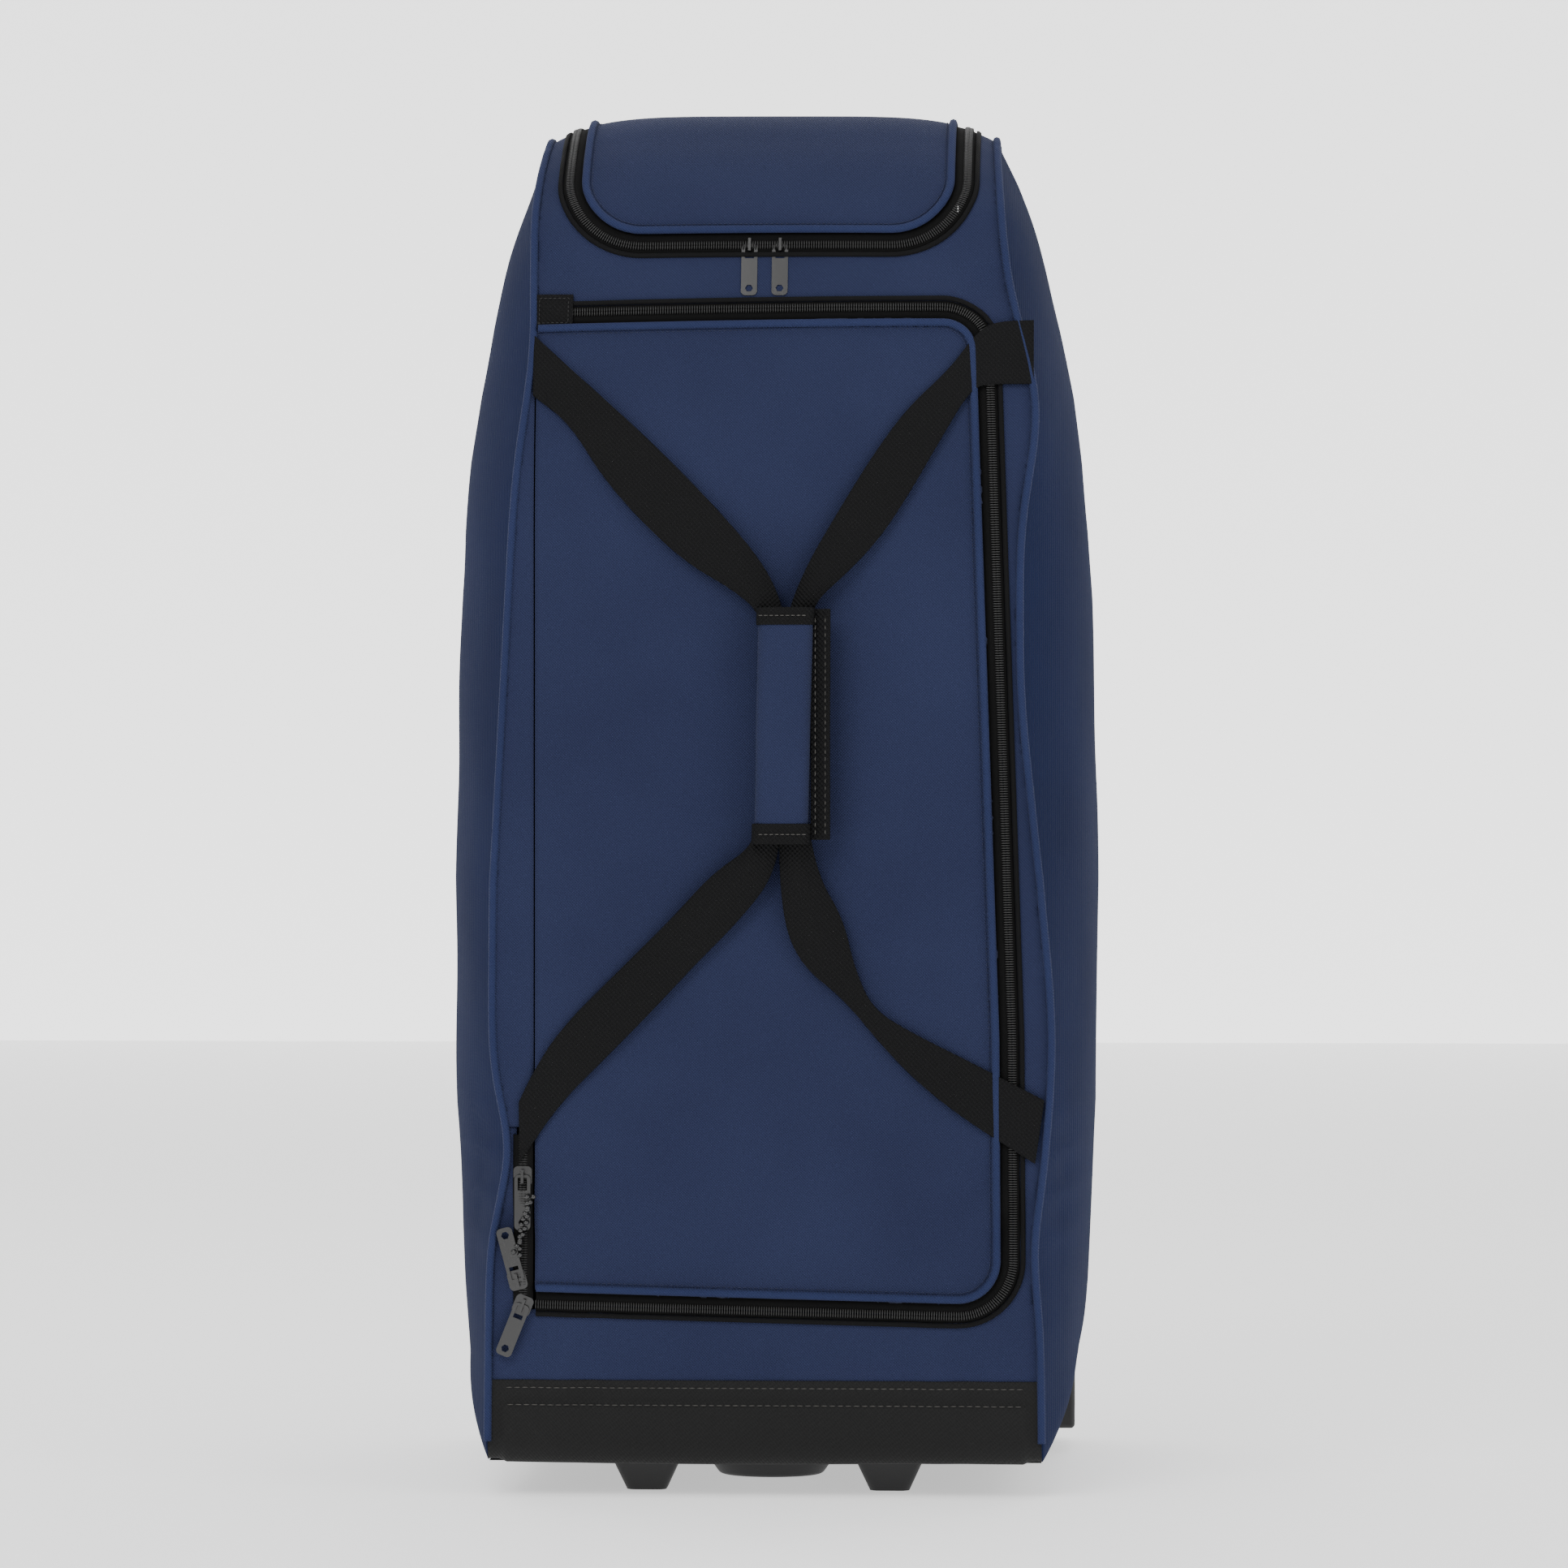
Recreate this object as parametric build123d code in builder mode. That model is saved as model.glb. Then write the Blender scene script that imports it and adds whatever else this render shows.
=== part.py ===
from build123d import *
import os
from math import cos, radians, sin

# Rolling duffel bag, standing on its wheeled end.
# Millimetres. +Z is up, the zipped lid faces -Y, the origin is on the floor under the middle.

os.makedirs("parts", exist_ok=True)

# Overall size
base_z = 23.0            # underside of the bag, held off the floor by its feet and wheels
top_front_z = 911.0      # highest point of the top end
top_back_z = 902.0
bag_depth = 380.0
grip_stand = 36.0        # how far the carry grip stands in front of the lid
wheel_out = 14.0         # how far the wheels stand out behind the back
shift_y = (grip_stand - wheel_out) / 2
front_y = shift_y - bag_depth / 2
back_y = shift_y + bag_depth / 2
side_flat = 184.0        # half width where the flat front turns into the domed side
side_bulge = 216.0       # half width at the fullest point of the sides

# Cloth
wall = 3.0               # fabric with its foam backing
clear = 0.4              # gap between neighbouring pieces
welt_width = 5.0
welt_height = 3.0

# Lid and its zip
hinge_x = -150.0         # the lid folds along this upright line
hinge_y = front_y - 1.0
zip_half = 7.0           # from the zip's middle line to the edge of its tape
welt_in = 11.0           # from the zip's middle line to the inner edge of the lid's welt
lid_corners = [(-260.0, 768.0), (146.0, 774.0), (162.0, 300.0), (162.0, 117.0), (-260.0, 133.0)]
lid_radii = [28.0, 300.0, 38.0]
leg_x = -157.0           # middle of the short upright zip leg at the lower left
leg_top_z = 240.0
leg_foot_z = 129.0
leather_top_z = 75.0

# Top pocket and its flap
flap_half = 131.0
flap_low_z = 815.0
flap_radius = 48.0
flap_hinge_y = 98.0
top_split_y = -72.0      # seam between the front panel and the top panel
back_split_y = 124.0     # seam between the top panel and the back panel
divider_z = 786.0

# Pull handle
tube_x = 88.0
tube_y = back_y - 28.0
cup_half = 118.0
cup_front_y = back_y - 64.0
cup_floor_z = 822.0
cup_wall = 2.5
stage_travel = 150.0

# Wheels
wheel_radius = 38.0
wheel_width = 30.0
wheel_x = 172.0
wheel_y = back_y + wheel_out - wheel_radius
tread_gap = 4.0
axle_radius = 4.0
house_low_x = 145.0
house_high_x = 201.0
house_front_y = back_y - 92.0
house_top_z = 102.0

# Zip sliders and pulls
plate_lift = 1.2         # from the cloth to the slider's plate
plate_thick = 1.8
bar_lift = 4.3           # from the cloth to the middle of the pull's top bar
pull_thick = 1.8
pull_width = 10.5
pull_length = 36.0

far = 400.0              # longer than the bag is deep or wide


def save(piece, name):
    """Label one finished piece and write it."""
    piece.label = name
    export_step(piece, f"parts/{name}.step")


def side_profile(inset):
    """The bag seen from the side: upright front and back, and a top end that leans back."""
    outline = [
        (front_y, base_z),
        (front_y, 700.0),
        (front_y + 50.0, 862.0),
        (front_y + 110.0, top_front_z),
        (back_y, top_back_z),
        (back_y, base_z),
    ]
    with BuildSketch(Plane.YZ) as profile:
        with BuildLine():
            FilletPolyline(*outline, radius=[10.0, 500.0, 110.0, 80.0, 70.0, 10.0], close=True)
        make_face()
        if inset:
            offset(amount=-inset)
    return profile.sketch.face()


def front_silhouette(inset):
    """The bag seen from the front, with its full sides narrowing towards the top."""
    half = [(197.0, 0.0), (side_bulge, 250.0), (side_bulge - 3.0, 560.0), (144.0, 960.0)]
    right = [(x - inset, z) for x, z in half]
    left = [(-x, z) for x, z in reversed(right)]
    with BuildSketch(Plane.XZ) as silhouette:
        with BuildLine():
            FilletPolyline(*right, radius=[600.0, 900.0])
            Line(right[-1], left[0])
            FilletPolyline(*left, radius=[900.0, 600.0])
            Line(left[-1], right[0])
        make_face()
    return silhouette.sketch.face()


def plan_outline(inset):
    """The bag seen from above: flat front and back, domed sides."""
    side = side_flat - inset
    bulge = side_bulge - inset
    middle = (front_y + back_y) / 2
    front_line = front_y - 2.0
    back_line = back_y + 2.0
    with BuildSketch() as plan:
        with BuildLine():
            Line((-side, front_line), (side, front_line))
            ThreePointArc((side, front_line), (bulge, middle), (side, back_line))
            Line((side, back_line), (-side, back_line))
            ThreePointArc((-side, back_line), (-bulge, middle), (-side, front_line))
        make_face()
    return plan.sketch.face()


def seam_zone(grow):
    """Everything between the two side seams, as a block through the bag's whole depth."""
    half = [(181.0, 0.0), (177.0, 400.0), (147.0, 960.0)]
    right = [(x + grow, z) for x, z in half]
    left = [(-x, z) for x, z in reversed(right)]
    with BuildPart() as zone:
        with BuildSketch(Plane.XZ):
            with BuildLine():
                FilletPolyline(*right, radius=900.0)
                Line(right[-1], left[0])
                FilletPolyline(*left, radius=900.0)
                Line(left[-1], right[0])
            make_face()
        extrude(amount=far, both=True)
    return zone.part


def block(x_low, x_high, y_low, y_high, z_low, z_high):
    """A plain box from its limits."""
    with BuildPart() as solid:
        with BuildSketch(Plane.XY.offset(z_low)):
            with Locations(((x_low + x_high) / 2, (y_low + y_high) / 2)):
                Rectangle(x_high - x_low, y_high - y_low)
        extrude(amount=z_high - z_low)
    return solid.part


def wheel_corners(margin):
    """The two lower back corners that belong to the wheel housings."""
    with BuildPart() as corners:
        with BuildSketch(Plane.XY):
            with BuildLine():
                Polyline(
                    (house_low_x - margin, house_front_y - margin),
                    (far, house_front_y - margin),
                    (far, far),
                    (house_low_x - margin, far),
                    close=True,
                )
            make_face()
            mirror(about=Plane.YZ)
        extrude(amount=house_top_z + margin)
    return corners.part


def trunk_skin(outer, inner):
    """The wall that runs round the front, top, back and bottom between the side seams."""
    with BuildPart() as skin:
        extrude(side_profile(outer), amount=far / 2, both=True)
        extrude(side_profile(inner), amount=far, both=True, mode=Mode.SUBTRACT)
        add(seam_zone(-clear / 2), mode=Mode.INTERSECT)
        add(wheel_corners(clear), mode=Mode.SUBTRACT)
    return skin.part


def lid_zone(grow):
    """The area inside the lid's zip, drawn in or out from the zip's middle line."""
    with BuildPart() as zone:
        with BuildSketch(Plane.XZ):
            with BuildLine():
                FilletPolyline(*lid_corners, radius=lid_radii)
                Line(lid_corners[-1], lid_corners[0])
            make_face()
            if grow:
                offset(amount=grow)
        extrude(amount=far)
    return zone.part


def flap_zone(grow):
    """The area inside the top pocket's zip: a deep U seen from the front."""
    half = flap_half + grow
    low = flap_low_z - grow
    with BuildPart() as zone:
        with BuildSketch(Plane.XZ):
            with BuildLine():
                FilletPolyline(
                    (-half, 960.0), (-half, low), (half, low), (half, 960.0), radius=flap_radius + grow
                )
                Line((half, 960.0), (-half, 960.0))
            make_face()
        extrude(amount=far, both=True)
        add(block(-far, far, flap_hinge_y - clear / 2, far, 0.0, 960.0), mode=Mode.SUBTRACT)
    return zone.part


right_of_hinge = block(hinge_x + clear / 2, far, -far, 0.0, 0.0, 960.0)
clear_of_hinge = block(hinge_x + 6.0, far, -far, 0.0, 0.0, 960.0)
right_of_leg = block(leg_x - zip_half, far, -far, 0.0, 0.0, 960.0)
leg_block = block(
    leg_x - zip_half, hinge_x - clear / 2, -far, 0.0, leg_foot_z - zip_half + 1.0, leg_top_z
)
cloth = trunk_skin(0.0, wall)
tape_skin = trunk_skin(0.8, wall - 0.6)
raised_skin = trunk_skin(-2.0, wall)
cup_space = block(-cup_half - clear, cup_half + clear, cup_front_y - clear, far, cup_floor_z - 3.4, 960.0)
front_half = block(-far, far, -far, top_split_y - clear / 2, 0.0, 960.0)


# Cloth panels

with BuildPart() as lid_panel:
    add(cloth)
    add(lid_zone(-welt_in), mode=Mode.INTERSECT)
    add(right_of_hinge, mode=Mode.INTERSECT)
save(lid_panel.part, "lid_panel")

with BuildPart() as lid_welt:
    add(raised_skin)
    add(lid_zone(clear - welt_in), mode=Mode.SUBTRACT)
    add(lid_zone(-zip_half), mode=Mode.INTERSECT)
    add(clear_of_hinge, mode=Mode.INTERSECT)
save(lid_welt.part, "lid_welt")

with BuildPart() as lid_zip_tape:
    add(tape_skin)
    add(lid_zone(clear - zip_half), mode=Mode.SUBTRACT)
    add(lid_zone(-clear / 2), mode=Mode.INTERSECT)
    add(right_of_hinge, mode=Mode.INTERSECT)
save(lid_zip_tape.part, "lid_zip_tape")

with BuildPart() as main_zip_tape:
    add(tape_skin)
    add(lid_zone(clear / 2), mode=Mode.SUBTRACT)
    add(lid_zone(zip_half - clear), mode=Mode.INTERSECT)
    add(right_of_leg, mode=Mode.INTERSECT)
    add(tape_skin & leg_block)
save(main_zip_tape.part, "main_zip_tape")

with BuildPart() as lid_hinge_strip:
    add(cloth)
    add(lid_zone(-zip_half - clear), mode=Mode.INTERSECT)
    add(block(-far, hinge_x - clear / 2, -far, 0.0, leg_top_z + clear, 960.0), mode=Mode.INTERSECT)
save(lid_hinge_strip.part, "lid_hinge_strip")

with BuildPart() as front_panel:
    add(cloth)
    add(front_half, mode=Mode.INTERSECT)
    add(block(-far, far, -far, far, 0.0, leather_top_z + clear), mode=Mode.SUBTRACT)
    add(lid_zone(zip_half) & right_of_leg, mode=Mode.SUBTRACT)
    add(lid_zone(-zip_half) & block(-far, far, -far, 0.0, leg_top_z, 960.0), mode=Mode.SUBTRACT)
    add(flap_zone(zip_half), mode=Mode.SUBTRACT)
save(front_panel.part, "front_panel")

with BuildPart() as leather_band:
    add(cloth)
    add(block(-far, far, -far, far, 0.0, leather_top_z), mode=Mode.INTERSECT)
save(leather_band.part, "leather_band")

with BuildPart() as top_panel:
    add(cloth)
    add(block(-far, far, top_split_y, back_split_y, 600.0, 960.0), mode=Mode.INTERSECT)
    add(flap_zone(zip_half), mode=Mode.SUBTRACT)
    add(block(-flap_half, flap_half, 0.0, flap_hinge_y + clear / 2, 600.0, 960.0), mode=Mode.SUBTRACT)
    add(cup_space, mode=Mode.SUBTRACT)
save(top_panel.part, "top_panel")

with BuildPart() as back_panel:
    add(cloth)
    add(block(-far, far, back_split_y + clear, far, 300.0, 960.0), mode=Mode.INTERSECT)
    add(cloth & block(-far, far, back_y - 10.0, far, leather_top_z + clear, 301.0))
    add(cup_space, mode=Mode.SUBTRACT)
save(back_panel.part, "back_panel")

with BuildPart() as pocket_flap:
    add(cloth)
    add(flap_zone(-welt_in), mode=Mode.INTERSECT)
save(pocket_flap.part, "pocket_flap")

with BuildPart() as flap_welt:
    add(raised_skin)
    add(flap_zone(clear - welt_in), mode=Mode.SUBTRACT)
    add(flap_zone(-zip_half), mode=Mode.INTERSECT)
    add(block(-far, far, -far, flap_hinge_y - 6.0, 600.0, 960.0), mode=Mode.INTERSECT)
save(flap_welt.part, "flap_welt")

with BuildPart() as flap_zip_tape:
    add(tape_skin)
    add(flap_zone(clear - zip_half), mode=Mode.SUBTRACT)
    add(flap_zone(-clear / 2), mode=Mode.INTERSECT)
save(flap_zip_tape.part, "flap_zip_tape")

with BuildPart() as pocket_zip_tape:
    add(tape_skin)
    add(flap_zone(clear / 2), mode=Mode.SUBTRACT)
    add(flap_zone(zip_half - clear), mode=Mode.INTERSECT)
save(pocket_zip_tape.part, "pocket_zip_tape")


def domed_body(inset):
    """The whole bag as one block: where its side, front and plan outlines meet."""
    with BuildPart() as body:
        extrude(side_profile(inset), amount=far, both=True)
        extrude(front_silhouette(inset), amount=far, both=True, mode=Mode.INTERSECT)
        extrude(plan_outline(inset), amount=960.0, mode=Mode.INTERSECT)
    return body.part


side_skin = domed_body(0.0) - domed_body(wall) - seam_zone(clear / 2) - wheel_corners(clear)
welt_skin = trunk_skin(-welt_height, -0.2) & (seam_zone(-0.4) - seam_zone(-welt_width))
welt_skin = welt_skin & block(-far, far, -far, far, leather_top_z - 45.0, 960.0)
right_half = block(0.0, far, -far, far, 0.0, 960.0)
for name, skin in (("side_panel", side_skin), ("side_welt", welt_skin)):
    with BuildPart() as right_piece:
        add(skin)
        add(right_half, mode=Mode.INTERSECT)
    save(right_piece.part, f"right_{name}")
    save(mirror(right_piece.part, about=Plane.YZ), f"left_{name}")


# Boards inside

with BuildPart() as pocket_divider:
    extrude(side_profile(wall + clear), amount=148.0, both=True)
    add(block(-far, far, -far, back_y - 42.0, divider_z, divider_z + 2.0), mode=Mode.INTERSECT)
save(pocket_divider.part, "pocket_divider")

with BuildPart() as back_board:
    add(block(-148.0, 148.0, back_y - 41.0, back_y - 38.5, house_top_z + 2.0, 810.0))
save(back_board.part, "back_board")

with BuildPart() as base_board:
    add(block(-138.0, 138.0, front_y + 12.0, back_y - 12.0, base_z + wall + clear, base_z + wall + 4.0))
save(base_board.part, "base_board")


# Pull handle: three tube stages behind the back board, and a grip in a cup at the top

tube_sizes = {"outer": (24.0, 15.0), "middle": (20.8, 11.8), "inner": (17.6, 8.6)}
tube_wall = 1.2
tube_spans = {"outer": (62.0, 816.0), "middle": (76.0, 818.0), "inner": (100.0, 853.0)}
plug_length = 14.0


def tube_pair(stage, low, high, hollow):
    """The left and right tubes of one stage, or the solid plugs that fit in the same place."""
    width, depth = tube_sizes[stage]
    with BuildPart() as pair:
        with BuildSketch(Plane.XY.offset(low)):
            with Locations((-tube_x, tube_y), (tube_x, tube_y)):
                RectangleRounded(width, depth, 3.0)
                if hollow:
                    RectangleRounded(
                        width - 2 * tube_wall, depth - 2 * tube_wall, 1.8, mode=Mode.SUBTRACT
                    )
        extrude(amount=high - low)
    return pair.part


for stage, (low, high) in tube_spans.items():
    save(tube_pair(stage, low, high, True), f"handle_{stage}_tubes")
for stage in ("middle", "inner"):
    low = tube_spans[stage][0]
    save(tube_pair(stage, low - plug_length, low, False), f"{stage}_tube_plugs")

cup_top = side_profile(-1.0)
with BuildPart() as handle_cup:
    extrude(cup_top, amount=cup_half, both=True)
    add(block(-far, far, cup_front_y, back_y, cup_floor_z - 3.0, 960.0), mode=Mode.INTERSECT)
    add(
        block(
            cup_wall - cup_half,
            cup_half - cup_wall,
            cup_front_y + cup_wall,
            back_y - cup_wall,
            cup_floor_z,
            960.0,
        ),
        mode=Mode.SUBTRACT,
    )
    with BuildSketch(Plane.XY.offset(cup_floor_z - 4.0)):
        with Locations((-tube_x, tube_y), (tube_x, tube_y)):
            RectangleRounded(tube_sizes["middle"][0] + 0.8, tube_sizes["middle"][1] + 0.8, 3.0)
    extrude(amount=5.0, mode=Mode.SUBTRACT)
save(handle_cup.part, "handle_cup")

grip_low_z = 853.0
grip_high_z = 873.0
grip_half = 107.0
grip_depth = 24.0
button_half = 15.0
with BuildPart() as pull_grip:
    with BuildSketch(Plane.XY.offset(grip_low_z)):
        with Locations((0, tube_y)):
            RectangleRounded(2 * grip_half, grip_depth, 11.0)
    extrude(amount=grip_high_z - grip_low_z)
    fillet(pull_grip.faces().sort_by(Axis.Z)[-1].edges(), 6.0)
    fillet(pull_grip.faces().sort_by(Axis.Z)[0].edges(), 4.0)
    with BuildSketch(Plane.XY.offset(grip_high_z - 9.0)):
        with Locations((0, tube_y)):
            RectangleRounded(2 * button_half + 0.8, 12.8, 5.9)
    extrude(amount=10.0, mode=Mode.SUBTRACT)
save(pull_grip.part, "pull_grip")

with BuildPart() as release_button:
    with BuildSketch(Plane.XY.offset(grip_high_z - 5.0)):
        with Locations((0, tube_y)):
            RectangleRounded(2 * button_half, 12.0, 5.5)
    extrude(amount=6.5)
    fillet(release_button.faces().sort_by(Axis.Z)[-1].edges(), 1.2)
save(release_button.part, "release_button")

with BuildPart() as tube_foot:
    add(block(-108.0, 108.0, tube_y - 9.0, tube_y + 9.0, 44.0, 62.0))
    fillet(tube_foot.edges().filter_by(Axis.Z), 4.0)
save(tube_foot.part, "tube_foot_bracket")


# Wheels at the lower back corners

def wheel_disc(radius, low_x, high_x):
    """A disc on the wheels' axis between two stations."""
    with BuildPart() as disc:
        with BuildSketch(Plane(origin=(low_x, wheel_y, wheel_radius), x_dir=(0, 1, 0), z_dir=(1, 0, 0))):
            Circle(radius)
        extrude(amount=high_x - low_x)
    return disc.part


tread_low = wheel_x - wheel_width / 2
tread_high = wheel_x + wheel_width / 2
with BuildPart() as housing:
    with BuildSketch(Plane(origin=(house_low_x, 0, 0), x_dir=(0, 1, 0), z_dir=(1, 0, 0))):
        with BuildLine():
            FilletPolyline(
                (house_front_y, 16.0),
                (house_front_y, house_top_z),
                (back_y + 5.0, house_top_z),
                (back_y + 5.0, 26.0),
                radius=[3.0, 26.0, 10.0, 3.0],
                close=True,
            )
        make_face()
    extrude(amount=house_high_x - house_low_x)
    fillet(housing.faces().sort_by(Axis.X)[-1].edges(), 3.0)
    add(wheel_disc(wheel_radius + tread_gap, tread_low - 3.0, tread_high + 3.0), mode=Mode.SUBTRACT)
    add(
        block(tread_low - 3.0, tread_high + 3.0, wheel_y - wheel_radius - tread_gap, far, 0.0, wheel_radius),
        mode=Mode.SUBTRACT,
    )
    add(
        block(tread_low - 3.0, tread_high + 3.0, wheel_y, far, 0.0, wheel_radius + 24.0),
        mode=Mode.SUBTRACT,
    )
    add(wheel_disc(axle_radius, house_low_x + 2.0, house_high_x - 2.0), mode=Mode.SUBTRACT)

with BuildPart() as axle:
    add(wheel_disc(axle_radius, house_low_x + 2.0, house_high_x - 2.0))

with BuildPart() as tyre:
    add(wheel_disc(wheel_radius, tread_low, tread_high))
    fillet(tyre.edges(), 5.0)
    add(wheel_disc(26.0, tread_low - 1.0, tread_high + 1.0), mode=Mode.SUBTRACT)

with BuildPart() as hub:
    add(wheel_disc(26.0, tread_low + 1.5, tread_high - 1.5))
    with BuildSketch(Plane(origin=(tread_high - 6.0, wheel_y, wheel_radius), x_dir=(0, 1, 0), z_dir=(1, 0, 0))):
        with PolarLocations(17.5, 5):
            Circle(4.2)
    extrude(amount=10.0, mode=Mode.SUBTRACT)
    add(wheel_disc(11.0, tread_low - 1.0, tread_high + 1.0), mode=Mode.SUBTRACT)

with BuildPart() as bearings:
    add(wheel_disc(11.0, tread_low + 1.5, tread_low + 8.5))
    add(wheel_disc(11.0, tread_high - 8.5, tread_high - 1.5))
    add(wheel_disc(axle_radius + 0.05, tread_low - 1.0, tread_high + 1.0), mode=Mode.SUBTRACT)

for name, made in (("wheel_housing", housing), ("wheel_tyre", tyre), ("wheel_hub", hub), ("wheel_bearings", bearings)):
    save(mirror(made.part, about=Plane.YZ), f"left_{name}")
    save(made.part, f"right_{name}")
save(axle.part + mirror(axle.part, about=Plane.YZ), "wheel_axles")


# What the bag rests and slides on

foot_x = 80.0
foot_y = front_y + 62.0
with BuildPart() as front_feet:
    for x in (-foot_x, foot_x):
        with BuildSketch(Plane(origin=(x, foot_y, base_z))):
            RectangleRounded(47.0, 46.0, 8.0)
        with BuildSketch(Plane(origin=(x, foot_y, 0.0))):
            RectangleRounded(26.0, 30.0, 6.0)
        loft()
save(front_feet.part, "front_feet")

with BuildPart() as centre_glide:
    with BuildSketch(Plane.XY.offset(base_z)):
        with Locations((0, front_y + 95.0)):
            Ellipse(46.0, 40.0)
    with BuildSketch(Plane.XY.offset(6.0)):
        with Locations((0, front_y + 95.0)):
            Ellipse(34.0, 28.0)
    loft()
    fillet(centre_glide.faces().sort_by(Axis.Z)[0].edges(), 5.0)
save(centre_glide.part, "centre_glide")

with BuildPart() as kick_plate:
    add(block(-142.0, 142.0, back_y + 0.2, back_y + 3.2, 30.0, 120.0))
    fillet(kick_plate.edges().filter_by(Axis.Y), 9.0)
save(kick_plate.part, "kick_plate")

with BuildPart() as back_skids:
    for x in (-70.0, 70.0):
        with BuildSketch(Plane(origin=(x, back_y + 0.2, 280.0), x_dir=(1, 0, 0), z_dir=(0, 1, 0))):
            SlotOverall(280.0, 16.0, rotation=90)
        extrude(amount=7.0, taper=20)
save(back_skids.part, "back_skids")


# Zip sliders and pulls

def cloth_slope():
    """The point and outward direction of the front where the pocket's zip crosses it."""
    front = side_profile(0.0).edges().filter_by(GeomType.LINE)
    leaning = [e for e in front if abs(e.center().Y - (front_y + 25.0)) < 20.0][0]
    start, end = sorted((leaning @ 0, leaning @ 1), key=lambda p: p.Z)
    share = (flap_low_z - start.Z) / (end.Z - start.Z)
    point = start + (end - start) * share
    along = (end - start).normalized()
    return point, Vector(0, -along.Z, along.Y)


slope_point, slope_normal = cloth_slope()


def tag_plane(x, z, on_slope, lean):
    """A plane on the cloth whose x axis is the pull's hinge and whose y axis points up the pull."""
    if on_slope:
        return Plane(origin=(x, slope_point.Y, slope_point.Z), x_dir=(1, 0, 0), z_dir=slope_normal)
    tilt = radians(lean)
    return Plane(origin=(x, front_y, z), x_dir=(cos(tilt), 0, sin(tilt)), z_dir=(0, -1, 0))


def make_slider(plane):
    """A slider: a rounded plate over the zip with a square wire bridge on it."""
    with BuildPart() as slider:
        with BuildSketch(plane.offset(plate_lift)):
            RectangleRounded(12.0, 13.0, 3.0)
        extrude(amount=plate_thick)
        with BuildSketch(plane.offset(plate_lift + plate_thick)):
            with Locations((0, -3.6), (0, 3.6)):
                Rectangle(1.8, 1.6)
        extrude(amount=4.4)
        with BuildSketch(plane.offset(plate_lift + plate_thick + 2.8)):
            Rectangle(1.8, 8.8)
        extrude(amount=1.6)
    return slider.part


def make_pull(plane):
    """A pull: a flat tag with a window round the bridge and a hole near its rounded end."""
    with BuildPart() as pull:
        with BuildSketch(plane.offset(bar_lift - pull_thick / 2)):
            with Locations((0, -(pull_length / 2) + 1.0)):
                RectangleRounded(pull_width, pull_length, 3.0)
            with Locations((0, -5.0)):
                Rectangle(6.0, 8.2, mode=Mode.SUBTRACT)
            with Locations((0, -pull_length + 6.0)):
                RegularPolygon(2.6, 6, mode=Mode.SUBTRACT)
        extrude(amount=pull_thick)
    return pull.part


tags = {
    "pocket_left": (-11.0, 0.0, True, 0.0),
    "pocket_right": (9.0, 0.0, True, 0.0),
    "main_lower": (-157.0, 125.0, False, -22.0),
    "main_corner": (-160.5, 141.5, False, 195.0),
    "main_leg": (-157.0, 209.0, False, 0.0),
}
for name, (x, z, on_slope, lean) in tags.items():
    plane = tag_plane(x, z, on_slope, lean)
    save(make_slider(plane), f"{name}_slider")
    save(make_pull(plane), f"{name}_pull")
    hinge = plane.offset(bar_lift).origin
    print(name, "pull hinge at", tuple(round(v, 3) for v in hinge), "axis", tuple(plane.x_dir))
print("cloth normal at the pocket zip", tuple(slope_normal))

chain_radius = 1.2
chain_y = front_y - bar_lift - pull_thick / 2 - 0.4 - chain_radius
with BuildPart() as bead_chain:
    with BuildLine(Plane(origin=(-160.0, chain_y, 182.0), x_dir=(1, 0, 0), z_dir=(0, -1, 0))) as loop:
        FilletPolyline((-6.0, -18.0), (3.0, -18.0), (6.0, 18.0), (-3.0, 18.0), radius=4.0, close=True)
    with BuildSketch(Plane(origin=loop.line @ 0, z_dir=loop.line % 0)):
        Circle(chain_radius)
    sweep(path=loop.line)
save(bead_chain.part, "bead_chain")


# Carry handles and the wrap that joins them

web_lift = 3.4           # from the cloth to the back of the webbing
web_thick = 2.0
grip_x = 13.0
grip_width = 36.0
grip_low = 427.0
grip_high = 578.0
wrap_lift = 3.2
wrap_wall = 4.0
core_back = front_y - wrap_lift - wrap_wall - 1.0
core_front = front_y - grip_stand + wrap_wall + 1.0
core_half = 12.0         # half width of both webbings together inside the wrap
left_root_x = hinge_x + 8.0
right_root_x = 166.0
root_edges = {"upper": (757.0, 716.0), "lower": (217.0, 258.0)}   # far and near edge at the seam


def webbing(side):
    """One carry strap: in from the seam, through the wrap and back out to the seam."""
    turn = -1 if side == "left" else 1
    root_x = left_root_x if side == "left" else right_root_x
    core_low, core_high = sorted((grip_x + turn * clear, grip_x + turn * core_half))
    with BuildPart() as strap:
        for run, end_z in (("upper", grip_high + 6.0), ("lower", grip_low - 6.0)):
            outer_z, inner_z = root_edges[run]
            with BuildSketch(Plane(origin=(0, front_y - web_lift, 0), x_dir=(1, 0, 0), z_dir=(0, -1, 0))):
                with BuildLine():
                    Polyline(
                        (root_x, outer_z),
                        (grip_x + turn * clear, end_z),
                        (grip_x + turn * core_half, end_z),
                        (root_x, inner_z),
                        close=True,
                    )
                make_face()
            extrude(amount=web_thick)
        for low, high in ((grip_low - 10.0, grip_low - clear), (grip_high + clear, grip_high + 10.0)):
            add(block(core_low, core_high, core_front, front_y - web_lift, low, high))
        add(block(core_low, core_high, core_front, core_back, grip_low - 1.0, grip_high + 1.0))
    return strap.part


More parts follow.
